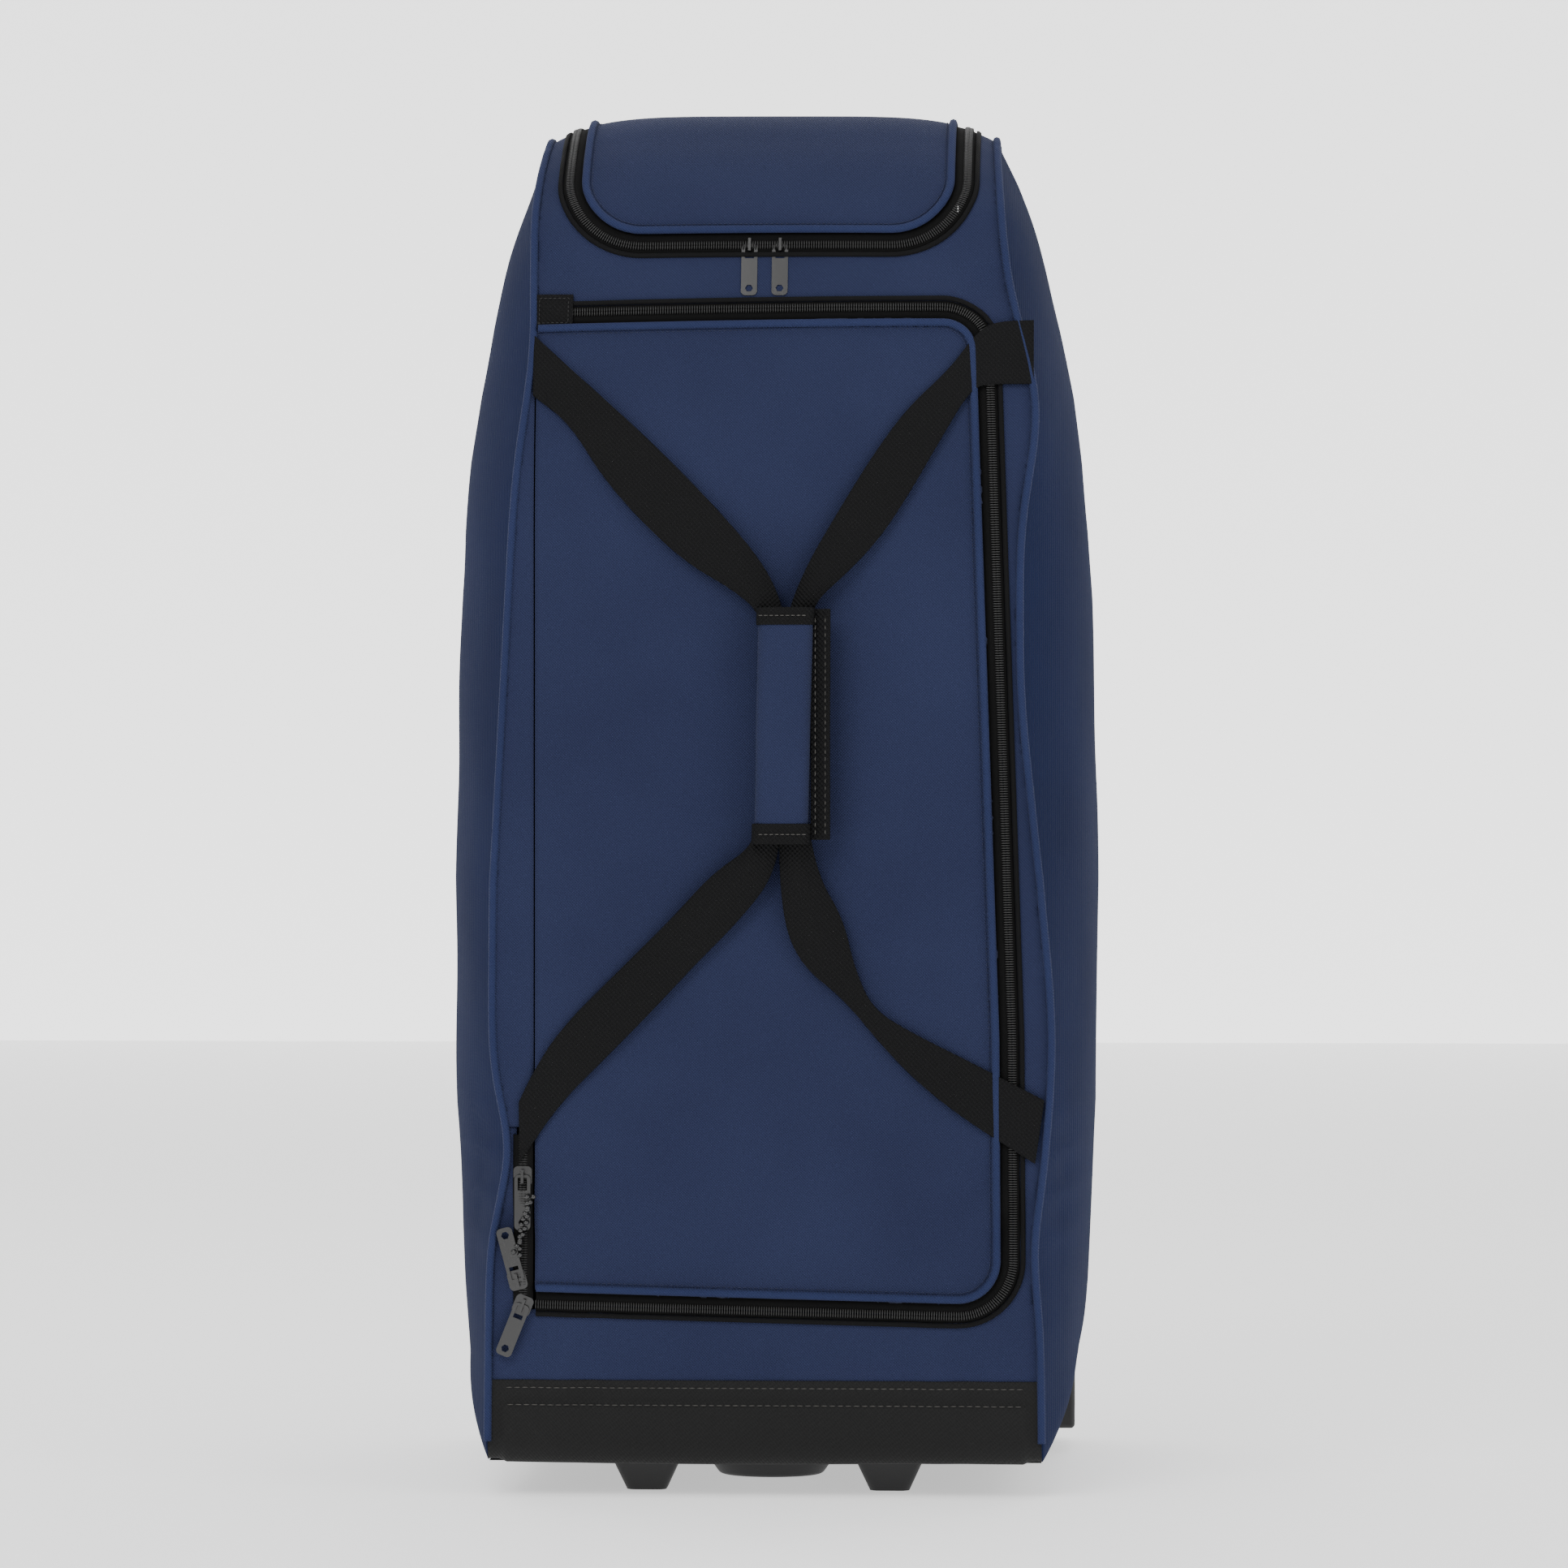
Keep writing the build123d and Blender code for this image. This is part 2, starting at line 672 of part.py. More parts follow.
def strap_roots(low_x, high_x):
    """The folded ends of one strap that are sewn to a side seam."""
    with BuildPart() as roots:
        for run in root_edges:
            low_z, high_z = sorted(root_edges[run])
            add(block(low_x, high_x, front_y - web_lift - web_thick, front_y - web_lift, low_z, high_z))
    return roots.part


save(webbing("left"), "left_strap")
save(webbing("right"), "right_strap")
save(strap_roots(hinge_x - 10.0, hinge_x - clear), "left_strap_roots")
save(strap_roots(right_root_x + clear, right_root_x + 10.0), "right_strap_roots")

wrap_middle_y = front_y - (wrap_lift + grip_stand) / 2
wrap_depth = grip_stand - wrap_lift
with BuildPart() as grip_wrap:
    with BuildSketch(Plane.XY.offset(grip_low)):
        with Locations((grip_x, wrap_middle_y)):
            RectangleRounded(grip_width, wrap_depth, 12.0)
            RectangleRounded(
                grip_width - 2 * wrap_wall, wrap_depth - 2 * wrap_wall, 1.5, mode=Mode.SUBTRACT
            )
    extrude(amount=grip_high - grip_low)
save(grip_wrap.part, "grip_wrap")

flap_x = grip_x + grip_width / 2 + clear
with BuildPart() as wrap_flap:
    add(block(flap_x, flap_x + 12.5, wrap_middle_y - 5.0, wrap_middle_y + 5.0, grip_low, grip_high))
    fillet(wrap_flap.edges().filter_by(Axis.Z), 3.0)
save(wrap_flap.part, "wrap_flap")

with BuildPart() as kick_plate_rivets:
    with BuildSketch(Plane(origin=(0, back_y + 3.2, 75.0), x_dir=(1, 0, 0), z_dir=(0, 1, 0))):
        with GridLocations(256.0, 66.0, 2, 2):
            Circle(4.0)
    extrude(amount=1.6)
save(kick_plate_rivets.part, "kick_plate_rivets")
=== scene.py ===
import math
import bmesh
import bpy
import mathutils
import numpy as np
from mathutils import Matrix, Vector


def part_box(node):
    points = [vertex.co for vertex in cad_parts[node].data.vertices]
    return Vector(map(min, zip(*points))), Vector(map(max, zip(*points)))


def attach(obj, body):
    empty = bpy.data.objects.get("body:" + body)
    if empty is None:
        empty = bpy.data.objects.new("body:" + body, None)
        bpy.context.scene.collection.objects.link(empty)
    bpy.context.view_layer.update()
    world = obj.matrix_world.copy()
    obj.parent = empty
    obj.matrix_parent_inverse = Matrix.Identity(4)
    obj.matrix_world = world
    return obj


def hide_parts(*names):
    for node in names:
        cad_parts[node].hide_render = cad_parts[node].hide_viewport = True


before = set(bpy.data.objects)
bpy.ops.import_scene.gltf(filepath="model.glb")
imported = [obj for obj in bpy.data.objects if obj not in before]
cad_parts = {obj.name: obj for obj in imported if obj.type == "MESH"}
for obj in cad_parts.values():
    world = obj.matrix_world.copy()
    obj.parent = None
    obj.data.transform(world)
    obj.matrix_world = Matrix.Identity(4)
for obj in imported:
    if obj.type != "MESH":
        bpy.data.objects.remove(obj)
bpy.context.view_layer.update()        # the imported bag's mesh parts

mm = 0.001


def low(node):
    return np.array(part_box(node)[0])


def high(node):
    return np.array(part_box(node)[1])


frontY = low("lid_panel")[1]
backY = high("back_panel")[1]
baseZ = low("leather_band")[2]
bandTopZ = high("leather_band")[2]
hingeX = low("lid_panel")[0]

# shader maths


# Wraps a socket, so that + - * / on it add Math nodes.
class Sock:

    def __init__(self, tree, socket):
        self.tree = tree
        self.socket = socket

    def math(self, operation, *values):
        return self.tree.node("ShaderNodeMath", {"operation": operation}, [self, *values])[0]

    def __add__(self, other):
        return self.math("ADD", other)

    __radd__ = __add__

    def __mul__(self, other):
        return self.math("MULTIPLY", other)

    __rmul__ = __mul__

    def __sub__(self, other):
        return self.math("SUBTRACT", other)

    def __rsub__(self, other):
        return self.tree.node("ShaderNodeMath", {"operation": "SUBTRACT"}, [other, self])[0]

    def __truediv__(self, other):
        return self.math("DIVIDE", other)

    def clamp(self):
        return self.tree.node("ShaderNodeClamp", {}, [self])[0]


# One material's nodes.
class Tree:

    def __init__(self, name):
        self.material = bpy.data.materials.new(name)
        self.material.use_nodes = True
        self.nodes = self.material.node_tree.nodes
        self.links = self.material.node_tree.links
        self.nodes.clear()

    def put(self, target, value):
        if isinstance(value, Sock):
            self.links.new(value.socket, target)
        else:
            target.default_value = value

    # Makes any node: settings first, then its inputs by place or by name.
    def node(self, kind, settings=None, values=()):
        made = self.nodes.new(kind)
        for key, value in (settings or {}).items():
            setattr(made, key, value)
        pairs = values.items() if isinstance(values, dict) else enumerate(values)
        for key, value in pairs:
            if value is not None:
                self.put(made.inputs[key], value)
        return [Sock(self, out) for out in made.outputs]

    def mix(self, amount, first, second):
        made = self.nodes.new("ShaderNodeMix")
        made.data_type = "RGBA"
        self.put(made.inputs[0], amount)
        self.put(made.inputs[6], first)
        self.put(made.inputs[7], second)
        return Sock(self, made.outputs[2])

    def finish(self, values):
        surface = self.node("ShaderNodeBsdfPrincipled", {}, values)[0]
        self.node("ShaderNodeOutputMaterial", {}, {"Surface": surface})
        return self.material


# A display colour from 0-255 as linear light.
def srgb(red, green, blue):
    parts = np.array([red, green, blue]) / 255
    linear = np.where(parts > 0.04045, ((parts + 0.055) / 1.055) ** 2.4, parts / 12.92)
    return (*linear.tolist(), 1.0)


# Woven cloth: diagonal twill ribs crossed by yarns, with soft blotches of colour.
def weaveMaterial(name, look):
    tree = Tree(name)
    place = tree.node("ShaderNodeTexCoord")[3]
    pitch = look["pitch"]
    turn = {"Rotation": (look.get("tiltX", 0.0), look.get("tilt", 0.8), look.get("tiltZ", 0.0))}
    turned = tree.node("ShaderNodeMapping", {}, {"Vector": place, **turn})[0]
    ribs = tree.node(
        "ShaderNodeTexWave", {"bands_direction": "X"},
        {"Vector": turned, "Scale": 0.314 / pitch, "Distortion": 0.6, "Detail": 1.0, "Detail Scale": 2.0},
    )[1]
    yarns = tree.node(
        "ShaderNodeTexWave", {"bands_direction": "Z"},
        {"Vector": turned, "Scale": 0.314 / pitch, "Distortion": 0.8, "Detail": 1.0, "Detail Scale": 2.0},
    )[1]
    fuzz = tree.node("ShaderNodeTexNoise", {}, {"Vector": place, "Scale": 1.4 / pitch, "Detail": 3.0})[0]
    cloud = tree.node("ShaderNodeTexNoise", {}, {"Vector": place, "Scale": 9.0, "Detail": 4.0})[0]
    weave = ribs * 0.55 + yarns * 0.3 + fuzz * 0.35
    shade = (weave * 0.5 + cloud * 0.5).clamp()
    colour = tree.mix(shade, look["dark"], look["light"])
    bump = tree.node(
        "ShaderNodeBump", {}, {"Strength": look.get("bump", 0.35), "Distance": pitch, "Height": weave}
    )[0]
    return tree.finish({
        "Base Color": colour, "Roughness": fuzz * 0.15 + look.get("rough", 0.78), "Normal": bump,
        "Sheen Weight": look.get("sheen", 0.12), "Sheen Roughness": 0.5,
        "Specular IOR Level": look.get("specular", 0.25),
    })


# Moulded or painted surface: fine grain, faint smears, slightly worn.
def mouldedMaterial(name, look):
    tree = Tree(name)
    place = tree.node("ShaderNodeTexCoord")[3]
    grain = tree.node("ShaderNodeTexNoise", {}, {"Vector": place, "Scale": look["grain"], "Detail": 4.0})[0]
    smear = tree.node("ShaderNodeTexNoise", {}, {"Vector": place, "Scale": 22.0, "Detail": 5.0})[0]
    bump = tree.node("ShaderNodeBump", {}, {"Strength": look["bump"], "Distance": 0.0004, "Height": grain})[0]
    return tree.finish({
        "Base Color": tree.mix(smear, look["dark"], look["light"]),
        "Roughness": smear * 0.14 + grain * 0.06 + look["rough"], "Normal": bump,
        "Metallic": look.get("metal", 0.0), "Coat Weight": look.get("coat", 0.0), "Coat Roughness": 0.12,
    })


# Coated cloth with a fine diagonal emboss.
def embossedMaterial(name, look):
    tree = Tree(name)
    place = tree.node("ShaderNodeTexCoord")[3]
    turned = tree.node("ShaderNodeMapping", {}, {"Vector": place, "Rotation": (0.0, 0.7, 0.0)})[0]
    ribs = tree.node(
        "ShaderNodeTexWave", {"bands_direction": "X"}, {"Vector": turned, "Scale": 190.0, "Distortion": 1.5}
    )[1]
    cross = tree.node(
        "ShaderNodeTexWave", {"bands_direction": "Z"}, {"Vector": turned, "Scale": 120.0, "Distortion": 2.0}
    )[1]
    grain = tree.node("ShaderNodeTexNoise", {}, {"Vector": place, "Scale": 500.0, "Detail": 4.0})[0]
    relief = ribs * 0.6 + cross * 0.4 + grain * 0.5
    bump = tree.node("ShaderNodeBump", {}, {"Strength": 0.4, "Distance": 0.0006, "Height": relief})[0]
    return tree.finish({
        "Base Color": tree.mix((relief * 0.6).clamp(), look["dark"], look["light"]),
        "Roughness": grain * 0.2 + 0.52, "Normal": bump, "Specular IOR Level": 0.22,
    })


navy = {
    "dark": srgb(21, 25, 49), "light": srgb(45, 52, 82), "pitch": 0.0013, "bump": 0.45,
    "sheen": 0.02, "rough": 0.82, "specular": 0.15,
}
navyCloth = weaveMaterial("navyTwill", navy)
welCloth = weaveMaterial("navyWelt", {**navy, "dark": srgb(22, 28, 56), "light": srgb(46, 55, 90)})
# Side panels: the front's navy twill with its weave turned, its colours darkened as painted shade for the light
# falling away on the sides.
sideClothPaintedShade = weaveMaterial("navySideTwillPaintedShade", {
    **navy, "tilt": 0.0, "tiltX": 0.8, "dark": srgb(13, 19, 42), "light": srgb(30, 39, 72), "sheen": 0.0,
    "specular": 0.08,
})
webMaterial = weaveMaterial("ribbedWebbing", {
    "dark": srgb(6, 6, 7), "light": srgb(24, 24, 25), "pitch": 0.0022, "bump": 0.7, "tilt": 0.75,
    "rough": 0.72, "sheen": 0.0, "specular": 0.15,
})
tapeMaterial = weaveMaterial("zipTape", {
    "dark": srgb(8, 8, 8), "light": srgb(20, 20, 20), "pitch": 0.0008, "rough": 0.8, "sheen": 0.0,
    "specular": 0.12,
})
bindMaterial = weaveMaterial("binding", {
    "dark": srgb(5, 5, 6), "light": srgb(18, 18, 19), "pitch": 0.0010, "rough": 0.75, "sheen": 0.0,
    "specular": 0.15,
})
liningMaterial = weaveMaterial("lining", {
    "dark": srgb(40, 42, 48), "light": srgb(70, 72, 80), "pitch": 0.0011, "rough": 0.7, "sheen": 0.1,
})
bandMaterial = embossedMaterial("embossedBand", {"dark": srgb(6, 6, 6), "light": srgb(22, 22, 22)})
threadMaterial = mouldedMaterial("paleThread", {
    "grain": 900.0, "bump": 0.4, "dark": srgb(52, 51, 49), "light": srgb(84, 82, 78), "rough": 0.7,
})
blackThread = mouldedMaterial("blackThread", {
    "grain": 900.0, "bump": 0.4, "dark": srgb(12, 12, 12), "light": srgb(34, 34, 34), "rough": 0.55,
})
navyThread = mouldedMaterial("navyThread", {
    "grain": 900.0, "bump": 0.4, "dark": srgb(16, 22, 50), "light": srgb(34, 42, 76), "rough": 0.7,
})
coilMaterial = mouldedMaterial("zipCoil", {
    "grain": 300.0, "bump": 0.2, "dark": srgb(7, 7, 7), "light": srgb(22, 22, 22), "rough": 0.32,
})
metalMaterial = mouldedMaterial("blackMetal", {
    "grain": 260.0, "bump": 0.08, "dark": srgb(4, 4, 5), "light": srgb(14, 14, 15), "rough": 0.20,
    "metal": 0.0, "coat": 0.6,
})
plasticMaterial = mouldedMaterial("mouldedBlack", {
    "grain": 1600.0, "bump": 0.35, "dark": srgb(13, 13, 14), "light": srgb(30, 30, 31), "rough": 0.42,
})
glossMaterial = mouldedMaterial("glossBlack", {
    "grain": 120.0, "bump": 0.04, "dark": srgb(14, 14, 15), "light": srgb(30, 30, 31), "rough": 0.14,
    "coat": 0.5,
})
tyreMaterial = mouldedMaterial("tyreRubber", {
    "grain": 700.0, "bump": 0.5, "dark": srgb(18, 18, 18), "light": srgb(44, 43, 42), "rough": 0.62,
})
tubeMaterial = mouldedMaterial("anodisedTube", {
    "grain": 200.0, "bump": 0.05, "dark": srgb(120, 122, 126), "light": srgb(160, 162, 166), "rough": 0.26,
    "metal": 1.0,
})
steelMaterial = mouldedMaterial("turnedSteel", {
    "grain": 200.0, "bump": 0.05, "dark": srgb(130, 130, 134), "light": srgb(180, 180, 184), "rough": 0.24,
    "metal": 1.0,
})
boardMaterial = mouldedMaterial("stiffBoard", {
    "grain": 700.0, "bump": 0.3, "dark": srgb(44, 45, 50), "light": srgb(66, 67, 72), "rough": 0.7,
})
print("materials made")

# mesh helpers


# Puts whole arrays of points and faces into a mesh that rides on a body.
def addMesh(name, points, faces, material, body, smooth=True):
    mesh = bpy.data.meshes.new(name)
    mesh.from_pydata(np.asarray(points, float).tolist(), [], np.asarray(faces).tolist())
    mesh.update()
    mesh.validate()
    mesh.polygons.foreach_set("use_smooth", [smooth] * len(mesh.polygons))
    piece = bpy.data.objects.new(name, mesh)
    bpy.context.collection.objects.link(piece)
    piece.data.materials.append(material)
    if body:
        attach(piece, body)
    return piece


# Quads of a rows x columns grid: each joins a point to its right and upper neighbours.
def gridFaces(rows, columns, wrapRows=False, wrapColumns=False):
    i, j = np.meshgrid(
        np.arange(rows if wrapRows else rows - 1), np.arange(columns if wrapColumns else columns - 1),
        indexing="ij",
    )
    a = i * columns + j
    b = i * columns + (j + 1) % columns
    c = ((i + 1) % rows) * columns + (j + 1) % columns
    d = ((i + 1) % rows) * columns + j
    return np.stack([a, b, c, d], axis=-1).reshape(-1, 4)


def unit(vectors):
    return vectors / np.maximum(np.linalg.norm(vectors, axis=-1, keepdims=True), 1e-9)


# A path of straight runs whose corners are arcs, read at even steps along its length.
def roundedPath(corners, radii, step):
    corners = np.array(corners, float)
    pieces = [corners[:1]]
    for index, radius in enumerate(radii, start=1):
        before, corner, after = corners[index - 1:index + 2]
        inward = unit(before - corner)
        outward = unit(after - corner)
        half = math.acos(np.clip(inward @ outward, -1, 1)) / 2
        reach = radius / math.tan(half)
        t = np.linspace(0, 1, 14)[:, None]
        middle = corner + unit(inward + outward) * radius / math.sin(half)
        start = corner + inward * reach - middle
        end = corner + outward * reach - middle
        pieces.append(middle + radius * unit(start * (1 - t) + end * t))
    pieces.append(corners[-1:])
    return evenly(np.concatenate(pieces), step)


# The same path with points at even steps along its length.
def evenly(path, step):
    lengths = np.concatenate([[0], np.cumsum(np.linalg.norm(np.diff(path, axis=0), axis=1))])
    count = max(int(round(lengths[-1] / step)), 2) + 1
    wanted = np.linspace(0, lengths[-1], count)
    return np.stack([np.interp(wanted, lengths, path[:, k]) for k in range(path.shape[1])], axis=1)


# A listed path rounded by cutting its corners, then read at even steps.
def smoothPath(points, step, passes=3):
    path = np.array(points, float)
    for _ in range(passes):
        cut = np.stack([path[:-1] * 0.75 + path[1:] * 0.25, path[:-1] * 0.25 + path[1:] * 0.75], axis=1)
        path = np.concatenate([path[:1], cut.reshape(-1, path.shape[1]), path[-1:]])
    return evenly(path, step)


# Gentle unevenness: a few sine waves of random direction and phase, added up.
def hills(a, b, seed, scale, count=7):
    rng = np.random.default_rng(seed)
    total = np.zeros(np.shape(a))
    for _ in range(count):
        turn, phase = rng.uniform(0, 2 * math.pi, 2)
        wave = scale * rng.uniform(0.6, 1.8)
        total = total + np.sin((a * math.cos(turn) + b * math.sin(turn)) / wave + phase)
    return total / count


# the trunk's surface

profile = {
    "corners": [
        (backY, baseZ + 0.030), (backY, baseZ), (frontY, baseZ), (frontY, 0.700), (frontY + 0.050, 0.862),
        (frontY + 0.110, 0.911), (backY, 0.902), (backY, baseZ + 0.030),
    ],
    "radii": [0.010, 0.012, 0.500, 0.110, 0.080, 0.070],
    "step": 0.002,
}
sidePath = roundedPath(profile["corners"], profile["radii"], profile["step"])
sideRun = np.arange(len(sidePath)) * np.linalg.norm(sidePath[1] - sidePath[0])
sideNormal = np.stack([-np.gradient(sidePath[:, 1]), np.gradient(sidePath[:, 0])], axis=1)
sideNormal = unit(sideNormal)
frontStart = int(np.argmax((sidePath[:, 0] < frontY + 1e-4) & (sidePath[:, 1] > baseZ + 0.02)))
topIndex = int(np.argmax(sidePath[:, 1]))


# How far round the trunk the front reaches a height.
def runAtHeight(z):
    rising = slice(frontStart, topIndex + 1)
    return np.interp(z, sidePath[rising, 1], sideRun[rising])


# How far round the trunk the top reaches a depth.
def runAtDepth(y):
    over = slice(topIndex - 30, len(sidePath))
    depth, run = sidePath[over, 0], sideRun[over]
    rising = np.maximum.accumulate(depth) == depth
    return np.interp(y, depth[rising], run[rising])


# Half width of the trunk at a height, without tucks: straight lines between three heights.
def straightSeam(z):
    return np.interp(z, [0, 0.40, 0.96], [0.181, 0.177, 0.147])


# Half width of the trunk at a run, with the tucks that the strap ends pull in.
def seamHalf(s, side):
    y = np.interp(s, sideRun, sidePath[:, 0])
    z = np.interp(s, sideRun, sidePath[:, 1])
    half = straightSeam(z)
    front = np.clip((backY - 0.16 - y) / 0.1, 0, 1)
    if side < 0:
        tuck = 0.011 * np.exp(-((z - 0.225) / 0.045) ** 2) + 0.006 * np.exp(-((z - 0.745) / 0.06) ** 2)
    else:
        tuck = 0.004 * np.exp(-((z - 0.16) / 0.04) ** 2) - 0.009 * np.exp(-((z - 0.300) / 0.09) ** 2)
        tuck = tuck - 0.016 * np.exp(-((z - 0.710) / 0.065) ** 2) + 0.003 * np.exp(-((z - 0.52) / 0.06) ** 2)
    return half - tuck * front


# A point of the trunk: across by x, round by s, raised along the surface's normal by lift.
def onTrunk(x, s, lift=0.0):
    y = np.interp(s, sideRun, sidePath[:, 0])
    z = np.interp(s, sideRun, sidePath[:, 1])
    ny = np.interp(s, sideRun, sideNormal[:, 0])
    nz = np.interp(s, sideRun, sideNormal[:, 1])
    crown = trunkCrown(x, z, y)
    rise = lift + crown
    return np.stack([x + 0 * s, y + ny * rise, z + nz * rise], axis=-1)


# How the stuffed cloth swells between its seams and creases near the strap ends.
def trunkCrown(x, z, y):
    across = np.clip(1 - (x / 0.17) ** 2, 0, 1)
    along = np.clip((z - 0.06) / 0.15, 0, 1) * np.clip((0.93 - z) / 0.1, 0.25, 1)
    front = np.clip((backY - 0.10 - y) / 0.15, 0.35, 1)
    swell = 0.0045 * across * along * front
    rolls = 0.0010 * hills(x, z, 3, 0.035) * front
    fold = 0
    for cx, cz, turn, size in (
        (0.158, 0.190, 0.9, 0.0030), (-0.160, 0.185, -0.7, 0.0028), (-0.120, 0.090, 1.45, 0.0022),
        (0.120, 0.086, 1.7, 0.0018), (0.150, 0.800, 0.7, 0.0016), (-0.140, 0.810, -0.5, 0.0014),
    ):
        u = (x - cx) * math.cos(turn) + (z - cz) * math.sin(turn)
        v = -(x - cx) * math.sin(turn) + (z - cz) * math.cos(turn)
        fold = fold + size * np.exp(-(u / 0.035) ** 2 - (v / 0.030) ** 2) * np.sin(v / 0.0065 + 14 * u)
    sag = -0.017 * (np.abs(x) / 0.15) ** 5 * np.clip((z - 0.84) / 0.06, 0, 1)
    return swell + rolls + fold + sag


# Distance of every grid point to a path, by its nearest point, with the path's side as the sign.
def distanceTo(path, x, s):
    points = np.stack([x.ravel(), s.ravel()], axis=1)
    best = np.zeros(len(points))
    near = np.zeros(len(points), int)
    for start in range(0, len(points), 4000):
        chunk = points[start:start + 4000]
        gaps = np.linalg.norm(chunk[:, None, :] - path[None, :, :], axis=2)
        near[start:start + 4000] = gaps.argmin(axis=1)
        best[start:start + 4000] = gaps.min(axis=1)
    tangent = unit(np.gradient(path, axis=0))[near]
    offset = points - path[near]
    cross = tangent[:, 0] * offset[:, 1] - tangent[:, 1] * offset[:, 0]
    sign = np.where(cross >= 0, 1.0, -1.0)
    return (best * sign).reshape(x.shape)


# A panel of the trunk's cloth: the cells of a grid where keep holds, its rim drawn to the snap lines.
def sheetPiece(name, xs, ss, keep, material, body, lift, thick, snaps=()):
    x, s = np.meshgrid(xs, ss, indexing="xy")
    for field, wanted, reach in snaps:
        gap = field(x, s) - wanted
        gx, gs = np.gradient(gap, axis=1), np.gradient(gap, axis=0)
        stepX, stepS = xs[1] - xs[0], ss[1] - ss[0]
        gx, gs = gx / stepX, gs / stepS
        size = np.maximum(np.hypot(gx, gs), 1e-6)
        move = np.where(np.abs(gap) < reach, gap, 0)
        x, s = x - move * gx / size ** 2, s - move * gs / size ** 2
    faces = gridFaces(*x.shape)
    inside = keep(x, s).ravel()
    faces = faces[inside[faces].all(axis=1)]
    used, faces = np.unique(faces, return_inverse=True)
    faces = faces.reshape(-1, 4)
    points = onTrunk(x.ravel()[used], s.ravel()[used], lift)
    piece = addMesh(name, points, faces, material, body)
    shell = piece.modifiers.new("thickness", "SOLIDIFY")
    shell.thickness = thick
    shell.offset = -1
    return piece


# A round cord along a path: circles in the plane of the surface normal and the sideways direction.
def tubeAlong(name, path, normals, radius, material, body, sides=8, squeeze=1.0):
    tangent = unit(np.gradient(path, axis=0))
    across = unit(np.cross(tangent, normals))
    up = np.cross(across, tangent)
    turn = np.linspace(0, 2 * math.pi, sides, endpoint=False)
    ring = across[:, None, :] * np.cos(turn)[None, :, None]
    ring = ring + squeeze * up[:, None, :] * np.sin(turn)[None, :, None]
    points = path[:, None, :] + radius * ring
    faces = gridFaces(len(path), sides, wrapColumns=True)
    start, end = np.arange(sides)[::-1], (len(path) - 1) * sides + np.arange(sides)
    flat = points.reshape(-1, 3)
    allFaces = faces[:, ::-1].tolist() + [start[::-1].tolist(), end[::-1].tolist()]
    mesh = bpy.data.meshes.new(name)
    mesh.from_pydata(flat.tolist(), [], allFaces)
    fixNormals(mesh)
    mesh.polygons.foreach_set("use_smooth", [True] * len(mesh.polygons))
    piece = bpy.data.objects.new(name, mesh)
    bpy.context.collection.objects.link(piece)
    mesh.materials.append(material)
    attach(piece, body)
    return piece


def fixNormals(mesh):
    work = bmesh.new()
    work.from_mesh(mesh)
    bmesh.ops.recalc_face_normals(work, faces=work.faces)
    work.to_mesh(mesh)
    work.free()


# Copies of one small shape, each turned into its own three directions, joined in one mesh.
def manyCopies(name, shapePoints, shapeFaces, centres, along, across, up, material, body):
    count = len(centres)
    frames = np.stack([along, across, up], axis=1)
    points = centres[:, None, :] + np.einsum("pk,nkc->npc", shapePoints, frames)
    faces = shapeFaces[None, :, :] + (np.arange(count) * len(shapePoints))[:, None, None]
    corners = shapeFaces.shape[1]
    piece = addMesh(name, points.reshape(-1, 3), faces.reshape(-1, corners), material, body)
    fixNormals(piece.data)
    return piece


# A small rounded grain: circles whose radius follows a half ellipse along its length.
def capsule(length, width, height, rings=4, sides=6):
    t = np.linspace(-1, 1, rings + 2)
    size = np.sqrt(np.clip(1 - (t * 0.94) ** 2, 0, 1))
    turn = np.linspace(0, 2 * math.pi, sides, endpoint=False)
    points = np.stack([
        np.repeat(t * length / 2, sides), (size[:, None] * np.cos(turn)).ravel() * width / 2,
        (size[:, None] * np.sin(turn)).ravel() * height / 2,
    ], axis=1)
    return points, gridFaces(rings + 2, sides, wrapColumns=True)


# outlines on the trunk

zipWidth = 0.0070
topZ, footZ = 0.770, 0.121
gridStep = 0.0035
pathStep = 0.0015
clothThick, coverThick = 0.0024, 0.0022
coverLift = 0.0012
onSeam = 1e-4


# Points given as x and height, turned into x and run.
def onFront(points):
    points = np.array(points, float)
    return np.stack([points[:, 0], runAtHeight(points[:, 1])], axis=1)


lidZipLine = {
    "corners": [
        (-0.240, topZ), (0.145, topZ + 0.004), (0.161, 0.300), (0.162, footZ - 0.003), (-0.240, footZ + 0.007),
    ],
    "radii": [0.030, 0.300, 0.036],
}
lidPath = roundedPath(onFront(lidZipLine["corners"]), lidZipLine["radii"], pathStep)
pocket = {"half": 0.131, "low": 0.815, "radius": 0.050, "hingeDepth": 0.096}
hingeRun = runAtDepth(pocket["hingeDepth"])
pocketPath = roundedPath(
    [(-pocket["half"], hingeRun + 0.05), (-pocket["half"], runAtHeight(pocket["low"])),
     (pocket["half"], runAtHeight(pocket["low"])), (pocket["half"], hingeRun + 0.05)],
    [pocket["radius"], pocket["radius"]], pathStep,
)


# Distance outside the lid's zip line; inside is negative.
def lidField(x, s):
    return distanceTo(lidPath, x, s)


# Distance outside the pocket's zip line; inside is negative.
def pocketField(x, s):
    return -distanceTo(pocketPath, x, s)


# Distance outside the nearer side seam.
def seamField(x, s):
    return np.where(x > 0, x - seamHalf(s, 1), -x - seamHalf(s, -1))


allX = np.arange(-0.189, 0.1895, gridStep)
frontRun = runAtHeight(bandTopZ - 0.002)
seamSnap = (seamField, 0.0, gridStep * 0.8)
legX, legTopZ = hingeX - zipWidth, 0.236
print("trunk outlines ready")



